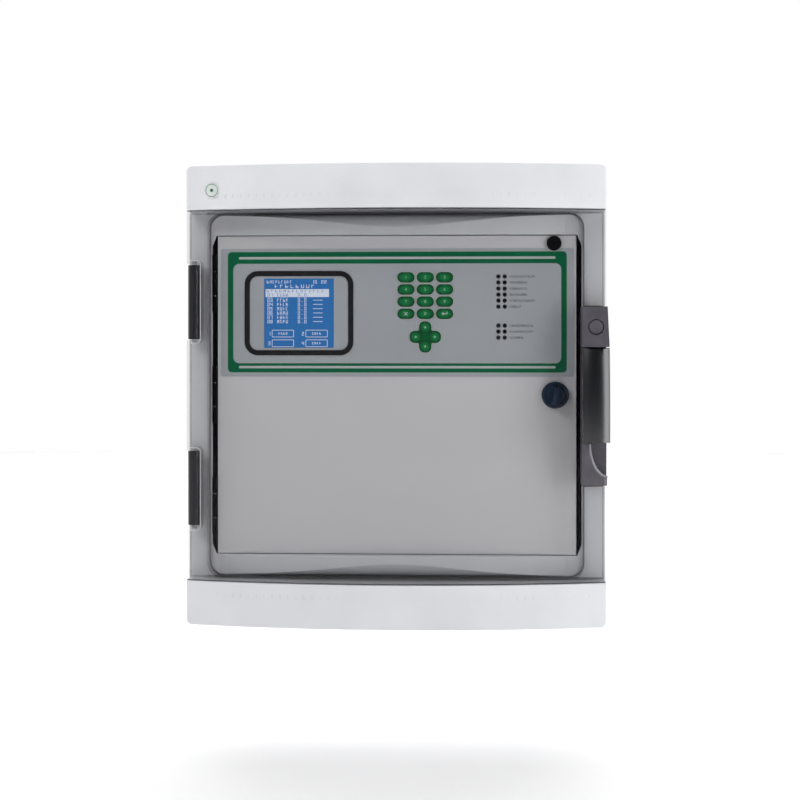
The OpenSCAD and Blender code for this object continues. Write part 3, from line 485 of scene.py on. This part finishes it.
def soften(name, width_mm):
    """Rounds a CAD node's sharp edges as it is drawn; its mesh stays as it came."""
    piece = nodes[name]
    weld = piece.modifiers.new("weld", "WELD")
    weld.merge_threshold = WELD_REACH
    bevel = piece.modifiers.new("edge", "BEVEL")
    bevel.width = width_mm * mm
    bevel.segments = 2
    bevel.limit_method = "ANGLE"
    bevel.angle_limit = SHARP_ANGLE
    piece.modifiers.new("shading", "WEIGHTED_NORMAL")


EDGE_WIDTHS = {"handle_base": 0.5, "handle_lever": 0.6, "handle_lock": 0.4, "hinge_barrels": 0.8,
               "lock_core": 0.4, "lock_bezel": 0.5, "buzzer": 0.5}
for name, width in EDGE_WIDTHS.items():
    soften(name, width)
print("rounded edges on", len(EDGE_WIDTHS), "nodes")

# %% [markdown]
# ## Helpers for flat prints
# A print is a closed outline with a very small thickness. Outlines are 2D curves, which Blender
# fills by itself and cuts holes into where one outline lies inside another, so a border is two
# outlines.

# %% Outlines as curves
INK = 0.06 * mm  # thickness of a print
ARC_STEPS = 8  # straight pieces in a quarter turn
SLOT_OF = {pad_green.name: "key_green", lit.name: "lcd_blue", display_blue.name: "lcd_blue"}


def settle(piece, material, body):
    """Gives a new piece its material and links it into the scene under its body."""
    piece.data.materials.append(material)
    bpy.context.scene.collection.objects.link(piece)
    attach(piece, body)
    return piece


def rounded(x, z, w, h, r):
    """Points of a rounded rectangle round (x, z), in millimetres."""
    points = []
    for quarter, (sx, sz) in enumerate(((1, 1), (-1, 1), (-1, -1), (1, -1))):
        for i in range(ARC_STEPS + 1):
            a = math.radians(90 * (quarter + i / ARC_STEPS))
            points.append((x + sx * (w / 2 - r) + r * math.cos(a),
                           z + sz * (h / 2 - r) + r * math.sin(a)))
    return points


def flat_print(name, outlines, y, material, body, thick=INK):
    """Filled outlines in the X-Z plane, standing proud of the depth y towards the front."""
    data = bpy.data.curves.new(name, "CURVE")
    data.dimensions = "2D"
    data.fill_mode = "BOTH"
    data.extrude = thick / 2
    for outline in outlines:
        spline = data.splines.new("POLY")
        spline.points.add(len(outline) - 1)
        for point, (px, pz) in zip(spline.points, outline):
            point.co = (px * mm, pz * mm, 0, 1)
        spline.use_cyclic_u = True
    piece = bpy.data.objects.new(name, data)
    piece.rotation_euler = (math.radians(90), 0, 0)
    piece.location = (0, y - thick / 2, 0)
    return settle(piece, material, body)


def circle(x, z, d, short):
    """A circle of diameter d, its corner arcs short of the radius so that no two points meet."""
    return rounded(x, z, d, d, d / 2 - short)


def box_outline(x0, z0, x1, z1):
    return [(x0, z0), (x1, z0), (x1, z1), (x0, z1)]


# %% [markdown]
# ## The green border
# A wide green frame with a pale stripe in its top and bottom bands, and a thin pale halo where the
# green stops short of the grey. Its place comes from the overlay's own box, with the margins in
# millimetres.

# %% Border and stripes
low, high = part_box("overlay")
left, right = low.x / mm, high.x / mm
bottom, top = low.z / mm, high.z / mm
sheet_y = low.y

SIDE_MARGIN, TOP_MARGIN, LOW_MARGIN = 7, 3.2, 4.2  # from the overlay's edge to the border
SIDE, TOP_BAND, LOW_BAND = 5.4, 11.6, 9.0  # widths of the border
OUTER_R, INNER_R = 4, 6
outer_w, outer_h = right - left - 2 * SIDE_MARGIN, top - bottom - TOP_MARGIN - LOW_MARGIN
inner_w, inner_h = outer_w - 2 * SIDE, outer_h - TOP_BAND - LOW_BAND
mid_x = (left + right) / 2
mid_z = (bottom + top - TOP_MARGIN + LOW_MARGIN) / 2
outer = rounded(mid_x, mid_z, outer_w, outer_h, OUTER_R)
inner = rounded(mid_x, mid_z + (LOW_BAND - TOP_BAND) / 2, inner_w, inner_h, INNER_R)
flat_print("border_green", [outer, inner], sheet_y, green_ink, "inner_door")

STRIPE_H, STRIPE_R, STRIPE_MARGIN = 2.4, 1.15, 11
STRIPE_FROM_TOP, STRIPE_FROM_LOW = 6.1, 5.2
stripe_w = outer_w - 2 * STRIPE_MARGIN
for name, z in (("stripe_top", mid_z + outer_h / 2 - STRIPE_FROM_TOP),
                ("stripe_bottom", mid_z - outer_h / 2 + STRIPE_FROM_LOW)):
    flat_print(name, [rounded(mid_x, z, stripe_w, STRIPE_H, STRIPE_R)], sheet_y - INK, pale_ink,
               "inner_door")

HALO = 0.8
halo = rounded(mid_x, mid_z, outer_w + 2 * HALO, outer_h + 2 * HALO, OUTER_R + HALO)
flat_print("border_halo", [halo, outer], sheet_y, halo_ink, "inner_door")
print("border", round(outer_w, 1), "x", round(outer_h, 1), "mm")

# %% [markdown]
# ## Keys
# Each key stands up from the film, and a pale line is printed round it. The digits are small, and
# ride on their own key so that they go in with it.

# %% Key outlines and digits
GAP = 0.06  # between a key and the inner edge of its printed line
KEY_LINE = 0.85  # from the key to the outer edge of that line
END_FLAT = 0.1  # the round ends fall this much short of half circles
FIGURE_SIZE = 4.2


def key_centre(name):
    """A key's middle x and z, width and height in millimetres, and the depth of its face."""
    a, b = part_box(name)
    return (a.x + b.x) / 2 / mm, (a.z + b.z) / 2 / mm, (b.x - a.x) / mm, (b.z - a.z) / mm, a.y


def digit(name, text, x, z, y, body):
    """A figure standing on a face, centred on (x, z)."""
    data = bpy.data.curves.new(name, "FONT")
    data.body = text
    data.size = FIGURE_SIZE * mm
    data.extrude = INK / 2
    data.align_x = "CENTER"
    data.align_y = "CENTER"
    piece = bpy.data.objects.new(name, data)
    piece.rotation_euler = (math.radians(90), 0, 0)
    piece.location = (x * mm, y - INK / 2, z * mm)
    return settle(piece, pale_ink, body)


NAV = [n for n in KEYS if n in ("key_up", "key_right", "key_down", "key_left")]
PUSH = [n for n in KEYS if n not in NAV]
for name in PUSH:
    x, z, w, h, face = key_centre(name)
    flat_print("line_" + name,
               [rounded(x, z, w + 2 * KEY_LINE, h + 2 * KEY_LINE, h / 2 + KEY_LINE - END_FLAT),
                rounded(x, z, w + 2 * GAP, h + 2 * GAP, h / 2 - END_FLAT)],
               sheet_y, pale_ink, "inner_door")
    figure = name.removeprefix("key_")
    if figure.isdigit():
        digit("figure_" + name, figure, x, z, face, name)

# %% [markdown]
# The two keys that would carry words have signs instead: a cross for cancel, made of two crossed
# bars, and a return arrow for enter. Both are drawn round the middle of their key.

# %% Cross and return arrow
CROSS_REACH, HALF_PEN = 2.4, 0.4
x, z, _, _, face = key_centre("key_cancel")
bar = box_outline(-CROSS_REACH, -HALF_PEN, CROSS_REACH, HALF_PEN)
for k, angle in enumerate((45, -45)):
    c, s = math.cos(math.radians(angle)), math.sin(math.radians(angle))
    flat_print(f"cross_{k}", [[(x + p * c - q * s, z + p * s + q * c) for p, q in bar]],
               face - k * INK, pale_ink, "key_cancel")

TIP, BARB, BARB_HALF = -3, -0.8, 1.7
HOOK_IN, HOOK_OUT, HOOK_TOP = 2.0, 2.8, 2.2
x, z, _, _, face = key_centre("key_enter")
arrow = [(TIP, 0), (BARB, BARB_HALF), (BARB, HALF_PEN), (HOOK_IN, HALF_PEN), (HOOK_IN, HOOK_TOP),
         (HOOK_OUT, HOOK_TOP), (HOOK_OUT, -HALF_PEN), (BARB, -HALF_PEN), (BARB, -BARB_HALF)]
flat_print("return_arrow", [[(x + p, z + q) for p, q in arrow]], face, pale_ink, "key_enter")
print("keys:", len(PUSH), "with a line round them and", len(NAV), "direction keys")

# %% [markdown]
# ## The direction pad
# Four keys lie on a printed cross. The cross is drawn as one outline that walks round its four
# arms, and each key leaves a hole in it.

# %% Direction pad
pad_x, up_z, nav_w, nav_h, _ = key_centre("key_up")
pad_z = (up_z + key_centre("key_down")[1]) / 2
reach = up_z + nav_h / 2 - pad_z
arm = nav_w / 2
PAD_EDGE, PAD_R, PAD_THICK = 0.25, 5.2, 0.5 * mm
PAD_LINE, PAD_LINE_R = 1.0, 5.9
INSIDE_CUT = 0.8  # cut across each inside corner of the cross
NAV_R = 4.6
DOT_D = 1.8


def cross_outline(widen, r):
    """The pad's plus, widened all round, with round ends and slightly cut inside corners."""
    far, half = reach + widen, arm + widen
    quarter = [math.radians(90 * i / ARC_STEPS) for i in range(ARC_STEPS + 1)]
    run = [(far - r + r * math.sin(a), -(half - r) - r * math.cos(a)) for a in quarter]
    run += [(far - r + r * math.cos(a), half - r + r * math.sin(a)) for a in quarter]
    run += [(half + INSIDE_CUT, half), (half, half + INSIDE_CUT)]
    points = []
    for side in range(4):
        c, s = math.cos(math.radians(90 * side)), math.sin(math.radians(90 * side))
        points += [(pad_x + p * c - q * s, pad_z + p * s + q * c) for p, q in run]
    return points


cross = cross_outline(PAD_EDGE, PAD_R)
holes = [rounded(*key_centre(n)[:2], nav_w + 2 * GAP, nav_h + 2 * GAP, NAV_R + GAP) for n in NAV]
flat_print("pad_cross", [cross] + holes, sheet_y, pad_green, "inner_door", thick=PAD_THICK)
flat_print("pad_line", [cross_outline(PAD_LINE, PAD_LINE_R), cross], sheet_y, pale_ink,
           "inner_door")
for name in NAV:
    x, z, _, _, face = key_centre(name)
    flat_print("dot_" + name, [circle(x, z, DOT_D, 0.02)], face, pale_ink, name)

# %% [markdown]
# ## Lamp legends
# Beside each pair of lamps is a short legend. No words are drawn: a few small strokes of ink stand
# in for each letter, so a legend reads as print from a distance and says nothing close up.

# %% Strokes instead of letters
random.seed(7)


def strokes(x, z, w, h, pen):
    """Outlines of one made-up sign: an upright, one or two bars across, at times a second leg."""
    made = [box_outline(x, z, x + pen, z + h)]
    for level in random.sample((0.0, 0.45, 0.9), random.choice((1, 2))):
        z0 = z + level * (h - pen)
        made.append(box_outline(x + pen, z0, x + w * random.choice((0.62, 0.8)), z0 + pen))
    if random.random() < 0.45:
        leg = x + w * 0.62
        made.append(box_outline(leg, z, leg + pen, z + h * random.choice((0.5, 1))))
    return made


def slabs(name, rects, y, material, body, thick=INK):
    """Thin rectangular slabs as one mesh; rects hold the four corners of each, in millimetres."""
    mesh = bpy.data.meshes.new(name)
    bm = bmesh.new()
    for corners in rects:
        front = [bm.verts.new((p * mm, y - thick, q * mm)) for p, q in corners]
        back = [bm.verts.new((p * mm, y, q * mm)) for p, q in corners]
        bm.faces.new(front)
        bm.faces.new(back[::-1])
        for i in range(4):
            j = (i + 1) % 4
            bm.faces.new((front[j], front[i], back[i], back[j]))
    bmesh.ops.recalc_face_normals(bm, faces=bm.faces)
    bm.to_mesh(mesh)
    bm.free()
    return settle(bpy.data.objects.new(name, mesh), material, body)


# %% [markdown]
# The lamps stand in two groups, six rows above and three below, and each row's legend has its own
# length. A dark ring is printed round each lamp. The rows are measured from the lamps' own box,
# whose edge is a lens and its narrow flange away from the first lamp's middle.

# %% Legends and rings
low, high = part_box("leds")
TO_LAMP = 1.9  # from the edge of that box to the first lamp's middle
UPPER_PITCH, LOWER_PITCH = 5.95, 5.9
LEGEND_GAP = 3.2
LENGTHS = (24.7, 17.1, 17.1, 17.1, 26.1, 10.8, 23, 23, 13.9)
SIGN_W, SIGN_H, SIGN_PEN, SIGN_STEP = 1.5, 2.4, 0.38, 1.95
RING_D, RING_HOLE = 4.4, 3.3
rows = [high.z / mm - TO_LAMP - UPPER_PITCH * i for i in range(6)]
rows += [low.z / mm + TO_LAMP + LOWER_PITCH * i for i in (2, 1, 0)]
legend_x = high.x / mm + LEGEND_GAP
signs = []
for z, length in zip(rows, LENGTHS):
    x = legend_x
    while x < legend_x + length - 1:
        signs += strokes(x, z - SIGN_H / 2, SIGN_W, SIGN_H, SIGN_PEN)
        x += SIGN_STEP
slabs("lamp_legends", signs, sheet_y, dark_ink, "inner_door")
for k, z in enumerate(rows):
    for column, x in enumerate((low.x / mm + TO_LAMP, high.x / mm - TO_LAMP)):
        flat_print(f"lamp_ring_{k}_{column}",
                   [circle(x, z, RING_D, 0.02), circle(x, z, RING_HOLE, 0.03)],
                   sheet_y, dark_ink, "inner_door")
print("legends:", len(signs), "strokes")

# %% [markdown]
# ## What the display shows
# The display is a dot matrix about 128 dots wide, so one dot is a little over half a millimetre.
# It lists readings, with four boxes for soft keys below them. Figures are built from seven bars,
# as on a clock.

# %% Clock figures and words
SEGMENTS = {"0": "abcdef", "1": "bc", "2": "abged", "3": "abgcd", "4": "fgbc", "5": "afgcd",
            "6": "afgedc", "7": "abc", "8": "abcdefg", "9": "abcdfg", "-": "g"}


def clock_figure(sign, x, z, w, h, pen):
    """Bars of one figure whose lower left corner is (x, z)."""
    middle = z + h / 2
    bars = {"a": (x, z + h - pen, x + w, z + h), "d": (x, z, x + w, z + pen),
            "g": (x, middle - pen / 2, x + w, middle + pen / 2),
            "f": (x, middle, x + pen, z + h), "b": (x + w - pen, middle, x + w, z + h),
            "e": (x, z, x + pen, middle), "c": (x + w - pen, z, x + w, middle)}
    return [box_outline(*bars[s]) for s in SEGMENTS.get(sign, "")]


DECIMAL_POINT, POINT_INDENT = 0.6, 0.7


def figures(text, x, z, w, h, pen=0.5, step=3.1):
    """Bars of a row of figures; a full stop becomes a small square."""
    made = []
    for k, sign in enumerate(text):
        at = x + k * step
        if sign == ".":
            at += POINT_INDENT
            made.append(box_outline(at, z, at + DECIMAL_POINT, z + DECIMAL_POINT))
        else:
            made += clock_figure(sign, at, z, w, h, pen)
    return made


def word(count, x, z, w, h, pen, step):
    """A row of made-up signs."""
    return [bar for k in range(count) for bar in strokes(x + step * k, z, w, h, pen)]


# %% [markdown]
# The page has a small heading with the time beside it, a larger title, and then the readings. A
# reading has a number, a name, a value and a dash. The first one is selected, so it is drawn dark
# on a bright field, below a row of column heads. Everything is placed from the upper left of the
# glass.

# %% The page of readings
low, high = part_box("lcd_module")
lcd_x, lcd_z = (low.x + high.x) / 2 / mm, (low.z + high.z) / 2 / mm
lcd_face = low.y
LIT_THICK, DARK_THICK = 0.08 * mm, 0.04 * mm
x0, x1 = lcd_x - 33.5, lcd_x + 33.0
z_top = lcd_z + 33.2

NUMBER_X, NAME_X, VALUE_X = x0 + 2.2, x0 + 11.8, x0 + 32.4
NUMBER_STEP, VALUE_STEP = 2.9, 3.2
FIGURE_W, FIGURE_H, NAME_W = 2.1, 3.3, 2.3
DASH_FROM, DASH_TO, DASH_LOW, DASH_HIGH = x0 + 47.6, x0 + 57, 1.4, 1.95
ROW_PITCH = 4.25
HEADING_Z, TIME_Z, TITLE_Z, ROWS_Z = z_top - 3.6, z_top - 3.8, z_top - 8.3, z_top - 13.4
HOUR_X, MINUTE_X = x1 - 20.5, x1 - 11
page = word(9, x0 + 1.5, HEADING_Z, w=2.2, h=3.0, pen=0.5, step=2.9)
page += figures("15", HOUR_X, TIME_Z, w=2.2, h=3.2) + figures("22", MINUTE_X, TIME_Z, w=2.2, h=3.2)
page += word(8, x0 + 9.5, TITLE_Z, w=3.9, h=3.4, pen=0.6, step=5.2)
for k in range(1, 8):
    z = ROWS_Z - ROW_PITCH * k
    page += figures(f"0{k + 1}", NUMBER_X, z, FIGURE_W, FIGURE_H, step=NUMBER_STEP)
    page += word(4, NAME_X, z, NAME_W, FIGURE_H, 0.5, NUMBER_STEP)
    page += figures("0.0", VALUE_X, z, FIGURE_W, FIGURE_H, step=VALUE_STEP)
    page.append(box_outline(DASH_FROM, z + DASH_LOW, DASH_TO, z + DASH_HIGH))
FIELD_LOW, FIELD_TOP = z_top - 17.2, z_top - 9.4
page.append(box_outline(x0 + 0.3, FIELD_LOW, x1 - 3.2, FIELD_TOP))
slabs("display_dots", page, lcd_face, lit, "inner_door", thick=LIT_THICK)

SELECTED_Z, HEADS_Z, SELECTED_H, FINE_PEN = z_top - 16.6, z_top - 12.6, 3.0, 0.4
dark = figures("01", NUMBER_X, SELECTED_Z, FIGURE_W, SELECTED_H, FINE_PEN, NUMBER_STEP)
dark += figures("0.0", VALUE_X, SELECTED_Z, FIGURE_W, SELECTED_H, FINE_PEN, VALUE_STEP)
dark += word(4, NAME_X, SELECTED_Z, NAME_W, SELECTED_H, FINE_PEN, NUMBER_STEP)
dark += word(14, x0 + 1.5, HEADS_Z, w=2.6, h=2.6, pen=FINE_PEN, step=4.2)
slabs("display_dark_dots", dark, lcd_face - LIT_THICK, display_blue, "inner_door",
      thick=DARK_THICK)
print("page:", len(page), "bright and", len(dark), "dark bars")

# %% [markdown]
# The soft keys are four boxes in two rows, each with its number on the left. The third one is
# empty, and the others hold a word.

# %% Soft keys
SOFT_W, SOFT_H, SOFT_R = 22, 7.4, 1.2
SOFT_LINE, SOFT_HOLE_R = 0.6, 0.7
SOFT_PITCH_X, SOFT_PITCH_Z = 33.5, 9.6
EMPTY = 2
for k in range(4):
    bx = x0 + 17.5 + SOFT_PITCH_X * (k % 2)
    bz = lcd_z - 20.2 - SOFT_PITCH_Z * (k // 2)
    edge = rounded(bx, bz, SOFT_W, SOFT_H, SOFT_R)
    hole = rounded(bx, bz, SOFT_W - 2 * SOFT_LINE, SOFT_H - 2 * SOFT_LINE, SOFT_HOLE_R)
    flat_print(f"soft_key_{k + 1}", [edge, hole], lcd_face, lit, "inner_door", thick=LIT_THICK)
    mark = figures(str(k + 1), bx - 14.6, bz - 1.9, FIGURE_W, h=3.6)
    slabs(f"soft_key_mark_{k + 1}", mark, lcd_face, lit, "inner_door", thick=LIT_THICK)
    if k != EMPTY:
        label = word(4, bx - 4.4, bz - 1.1, w=1.8, h=2.4, pen=0.45, step=2.4)
        slabs(f"soft_key_word_{k + 1}", label, lcd_face, lit, "inner_door", thick=LIT_THICK)

# %% [markdown]
# ## The badge
# A round pale badge sits on the top band, with a plain green dot in its middle and a thin green
# ring near its rim. The band is bowed, so the prints lean with it: the bow's circle follows from
# the cabinet's width and the depth of the bow.

# %% Badge
dress(moulded("abs_badge_pale", "D3D9D6", "DEE3E1", 0.3, drift_mm=5, **ABS), "badge_disc")
BOW = 25 * mm
BADGE_PROUD, RING_SUNK = 0.9 * mm, 0.3 * mm
DOT_SIZE, RING_OUTSIDE, RING_INSIDE = 3.2, 12.4, 11.2
half_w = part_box("back_box")[1].x
bow_radius = (half_w ** 2 + BOW ** 2) / (2 * BOW)
bow_centre = Vector((0, cad_box[0][1] + bow_radius, 0))
low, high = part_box("badge_disc")
lean = math.asin((low.x + high.x) / 2 / bow_radius)


def badge_print(name, outlines, lift):
    """Outlines round the badge's middle, laid on its leaning face."""
    piece = flat_print(name, outlines, 0.0, green_ink, "cabinet")
    out = Vector((math.sin(lean), -math.cos(lean), 0))
    face = bow_centre + out * (bow_radius + lift)
    face.z = (low.z + high.z) / 2
    piece.location = face
    piece.rotation_euler = (math.radians(90), 0, lean)
    return piece


badge_print("badge_dot", [circle(0, 0, DOT_SIZE, 0.01)], BADGE_PROUD + INK / 2)
badge_print("badge_ring", [circle(0, 0, RING_OUTSIDE, 0.01), circle(0, 0, RING_INSIDE, 0.01)],
            BADGE_PROUD - RING_SUNK)

# %% [markdown]
# ## Edges of the smoked door
# The door's top and bottom edges look nearly black, in the shade of the gap along them, and the
# rims of the two hinge notches catch the light and look pale. A thin round line along each edge,
# drawn as a curve with a bevel, paints both: painted shade along the top and bottom edges, a
# painted highlight round each notch. Each line lies on the bow, whose circle comes from the width
# of the cabinet.


# %% Lines on the bow
def bow_y(x_mm):
    """Depth of the bowed front at a distance from its middle."""
    return bow_centre.y - math.sqrt(bow_radius ** 2 - (x_mm * mm) ** 2)


def line(name, points, radius, material, body):
    """A round line through points given as x, depth in metres, z."""
    data = bpy.data.curves.new(name, "CURVE")
    data.dimensions = "3D"
    data.bevel_depth = radius * mm
    data.bevel_resolution = 3
    data.use_fill_caps = True
    spline = data.splines.new("POLY")
    spline.points.add(len(points) - 1)
    for point, (x, y, z) in zip(spline.points, points):
        point.co = (x * mm, y, z * mm, 1)
    piece = bpy.data.objects.new(name, data)
    print(name, len(points), "points")
    return settle(piece, material, body)


# Painted shade: the near-black colour of the lines along the door's top and bottom edges and along
# the handle's joints.
edge_painted_shade = moulded("polycarbonate_edge_painted_shade", "17151B", "221F27", 0.3, drift_mm=20,
                    depth_mm=0.01, **POLYCARBONATE)
# Painted highlight: the pale colour of the lines round the hinge notches.
notch_painted_highlight = moulded("polycarbonate_notch_painted_highlight", "C9C9D0", "DADAE0", 0.45, drift_mm=10,
                    **POLYCARBONATE)
SLOT_OF[edge_painted_shade.name] = SLOT_OF[notch_painted_highlight.name] = "smoked_polycarbonate"
EDGE_R, EDGE_SUNK = 0.45, 0.6 * mm
EDGE_END, EDGE_INSET = 1.2, 0.1  # from the door's sides, and from its top and bottom
HALF_STEPS = 24  # straight pieces in half the width
door_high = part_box("door_cover")[1]
side_x = door_high.x / mm - EDGE_END
end_z = door_high.z / mm - EDGE_R - EDGE_INSET
xs = [side_x * (i / HALF_STEPS - 1) for i in range(2 * HALF_STEPS + 1)]
# Lines of painted shade along the door's top and bottom edges.
for name, z in (("door_edge_top", end_z), ("door_edge_bottom", -end_z)):
    line(name, [(x, bow_y(x) + EDGE_SUNK, z) for x in xs], EDGE_R, edge_painted_shade, "door")

# %% [markdown]
# Each notch is a slot open to the door's left edge, with its two inner corners rounded.

# %% Rims of the hinge notches
barrel_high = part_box("hinge_barrels")[1]
BARREL_L = 73
NOTCH_GAP, NOTCH_SIDE_GAP = 3.9, 2.6
NOTCH_R = 4
RIM_R, RIM_SUNK = 0.3, 0.1 * mm
notch_x = barrel_high.x / mm + NOTCH_SIDE_GAP
notch_mid = barrel_high.z / mm - BARREL_L / 2
notch_half = BARREL_L / 2 + NOTCH_GAP
# Pale lines of painted highlight round each notch's rim.
for side, name in ((1, "notch_rim_upper"), (-1, "notch_rim_lower")):
    rim = [(-side_x, notch_half)]
    rim += [(notch_x - NOTCH_R * (1 - math.sin(a)), notch_half - NOTCH_R * (1 - math.cos(a)))
            for a in (math.radians(15 * i) for i in range(7))]
    rim += [(x, -z) for x, z in reversed(rim)]
    line(name, [(x, bow_y(x) + RIM_SUNK, side * notch_mid + z) for x, z in rim], RIM_R, notch_painted_highlight,
         "door")

# %% [markdown]
# ## Lip of the finger scoop
# Below the lever, the handle's base is scooped out so that a finger can reach behind the lever.
# The scoop's edge is a quarter of an ellipse with a rounded lip, which catches the light in one
# pale line; the lip is coloured paler than the base as a painted highlight.

# %% Scoop lip
base_low, base_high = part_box("handle_base")
lever_low_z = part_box("handle_lever")[0].z / mm
SCOOP_W, SCOOP_H, SCOOP_BELOW = 18.5, 33.0, 0.8
LIP_R, LIP_PROUD, LIP_LEAN = 1.3, 0.3 * mm, 0.1
LIP_FROM, LIP_SWEEP, LIP_STEPS = 182, 84, 16  # degrees round the ellipse
# Painted highlight: the lip's pale grey stands for the light it catches, against the darker base.
lip_painted_highlight = moulded("abs_lip_painted_highlight", "807E86", "8E8C94", 0.28, drift_mm=10, depth_mm=0.01,
                     **ABS)
SLOT_OF[lip_painted_highlight.name] = "charcoal_nylon"
base_left = base_low.x / mm
lip = []
for i in range(LIP_STEPS + 1):
    a = math.radians(LIP_FROM + LIP_SWEEP * i / LIP_STEPS)
    x = base_high.x / mm + SCOOP_W * math.cos(a)
    lip.append((x, bow_y(base_left) - LIP_PROUD + LIP_LEAN * (x - base_left) * mm,
                lever_low_z - SCOOP_BELOW + SCOOP_H * math.sin(a)))
line("scoop_lip", lip, LIP_R, lip_painted_highlight, "door")

# %% [markdown]
# The base is pressed into a cut-out of the door. The narrow joint above and below it lies in
# shade, drawn as a line of painted shade in the same colour as the door's edge lines.

# %% Joints of the handle
JOINT_R, JOINT_SUNK, JOINT_INSET, JOINT_STEPS = 0.5, 0.3 * mm, 1, 8
base_width = (base_high.x - base_low.x) / mm
joint_xs = [base_left + JOINT_INSET + base_width * i / JOINT_STEPS for i in range(JOINT_STEPS)]
joint_xs = [x for x in joint_xs if x < side_x]
# Lines of painted shade along the joint above and below the base.
for name, z in (("handle_joint_top", base_high.z / mm + JOINT_R),
                ("handle_joint_bottom", base_low.z / mm - JOINT_R)):
    line(name, [(x, bow_y(x) + JOINT_SUNK, z) for x in joint_xs], JOINT_R, edge_painted_shade, "door")

# %% [markdown]
# ## Light and floor
# A polished door mirrors whatever stands in front of it, so the front of the studio is dark and
# the rest of it is white. Two big soft lights then shape the cabinet: one high on the left, and a
# tall one low on the right, whose image runs down the right side of the lever. They stand outside
# the angles at which the door would mirror them to the eye.


# %% Lights
def soft_light(name, place, size, power):
    """A rectangular lamp; it shines straight down until it is turned."""
    lamp = bpy.data.lights.new(name, "AREA")
    lamp.shape = "RECTANGLE"
    lamp.size, lamp.size_y = size
    lamp.energy = power
    stand = bpy.data.objects.new(name, lamp)
    bpy.context.scene.collection.objects.link(stand)
    stand.location = place
    print(name, power, "W")
    return stand


for stand in (soft_light("key_light", (-1.1, -1.1, 1.2), (0.9, 0.9), 18),
              soft_light("right_light", (1.15, -0.85, 0.1), (0.6, 1.2), 10)):
    stand.rotation_euler = (-stand.location).to_track_quat("-Z", "Y").to_euler()

# %% [markdown]
# The studio's walls are a world colour that depends only on direction: dark in front of the
# cabinet and white from its sides round to the back.

# %% Studio walls
DARK_WALL, WHITE_WALL = 0.06, 1.0
world = bpy.data.worlds.new("studio")
bpy.context.scene.world = world
world.use_nodes = True
room = world.node_tree
room.nodes.clear()
way = add(room, "ShaderNodeTexCoord")
axes = add(room, "ShaderNodeSeparateXYZ", {"Vector": way.outputs["Generated"]})
wall = add(room, "ShaderNodeMapRange",
           {"Value": axes.outputs["Y"], "From Min": -0.3, "From Max": 0.05,
            "To Min": DARK_WALL, "To Max": WHITE_WALL})
glow = add(room, "ShaderNodeBackground",
           {"Color": (1, 1, 1, 1), "Strength": wall.outputs["Result"]})
add(room, "ShaderNodeOutputWorld", {"Surface": glow.outputs["Background"]})
bpy.context.scene.view_settings.view_transform = "Standard"

# %% [markdown]
# The cabinet hangs on a wall, so the floor lies well below it. It is one large pale matt sheet,
# and a broad lamp above the part behind the cabinet keeps it as white as the walls.

# %% Floor
FLOOR_HALF = 4.0
FLOOR_DROP = 0.12
floor_z = cad_box[0][2] - FLOOR_DROP
floor_mesh = bpy.data.meshes.new("floor")
sheet = box_outline(-FLOOR_HALF, -FLOOR_HALF, FLOOR_HALF, FLOOR_HALF)
floor_mesh.from_pydata([(x, y, floor_z) for x, y in sheet], [], [(0, 1, 2, 3)])
floor_mesh.materials.append(powder_coated("floor_pale_matt", "F2F2F2", "F6F6F6", 0.8))
floor = bpy.data.objects.new("floor", floor_mesh)
bpy.context.scene.collection.objects.link(floor)

soft_light("floor_light", (0.0, 2.4, 2.4), (4.0, 3.0), 90)
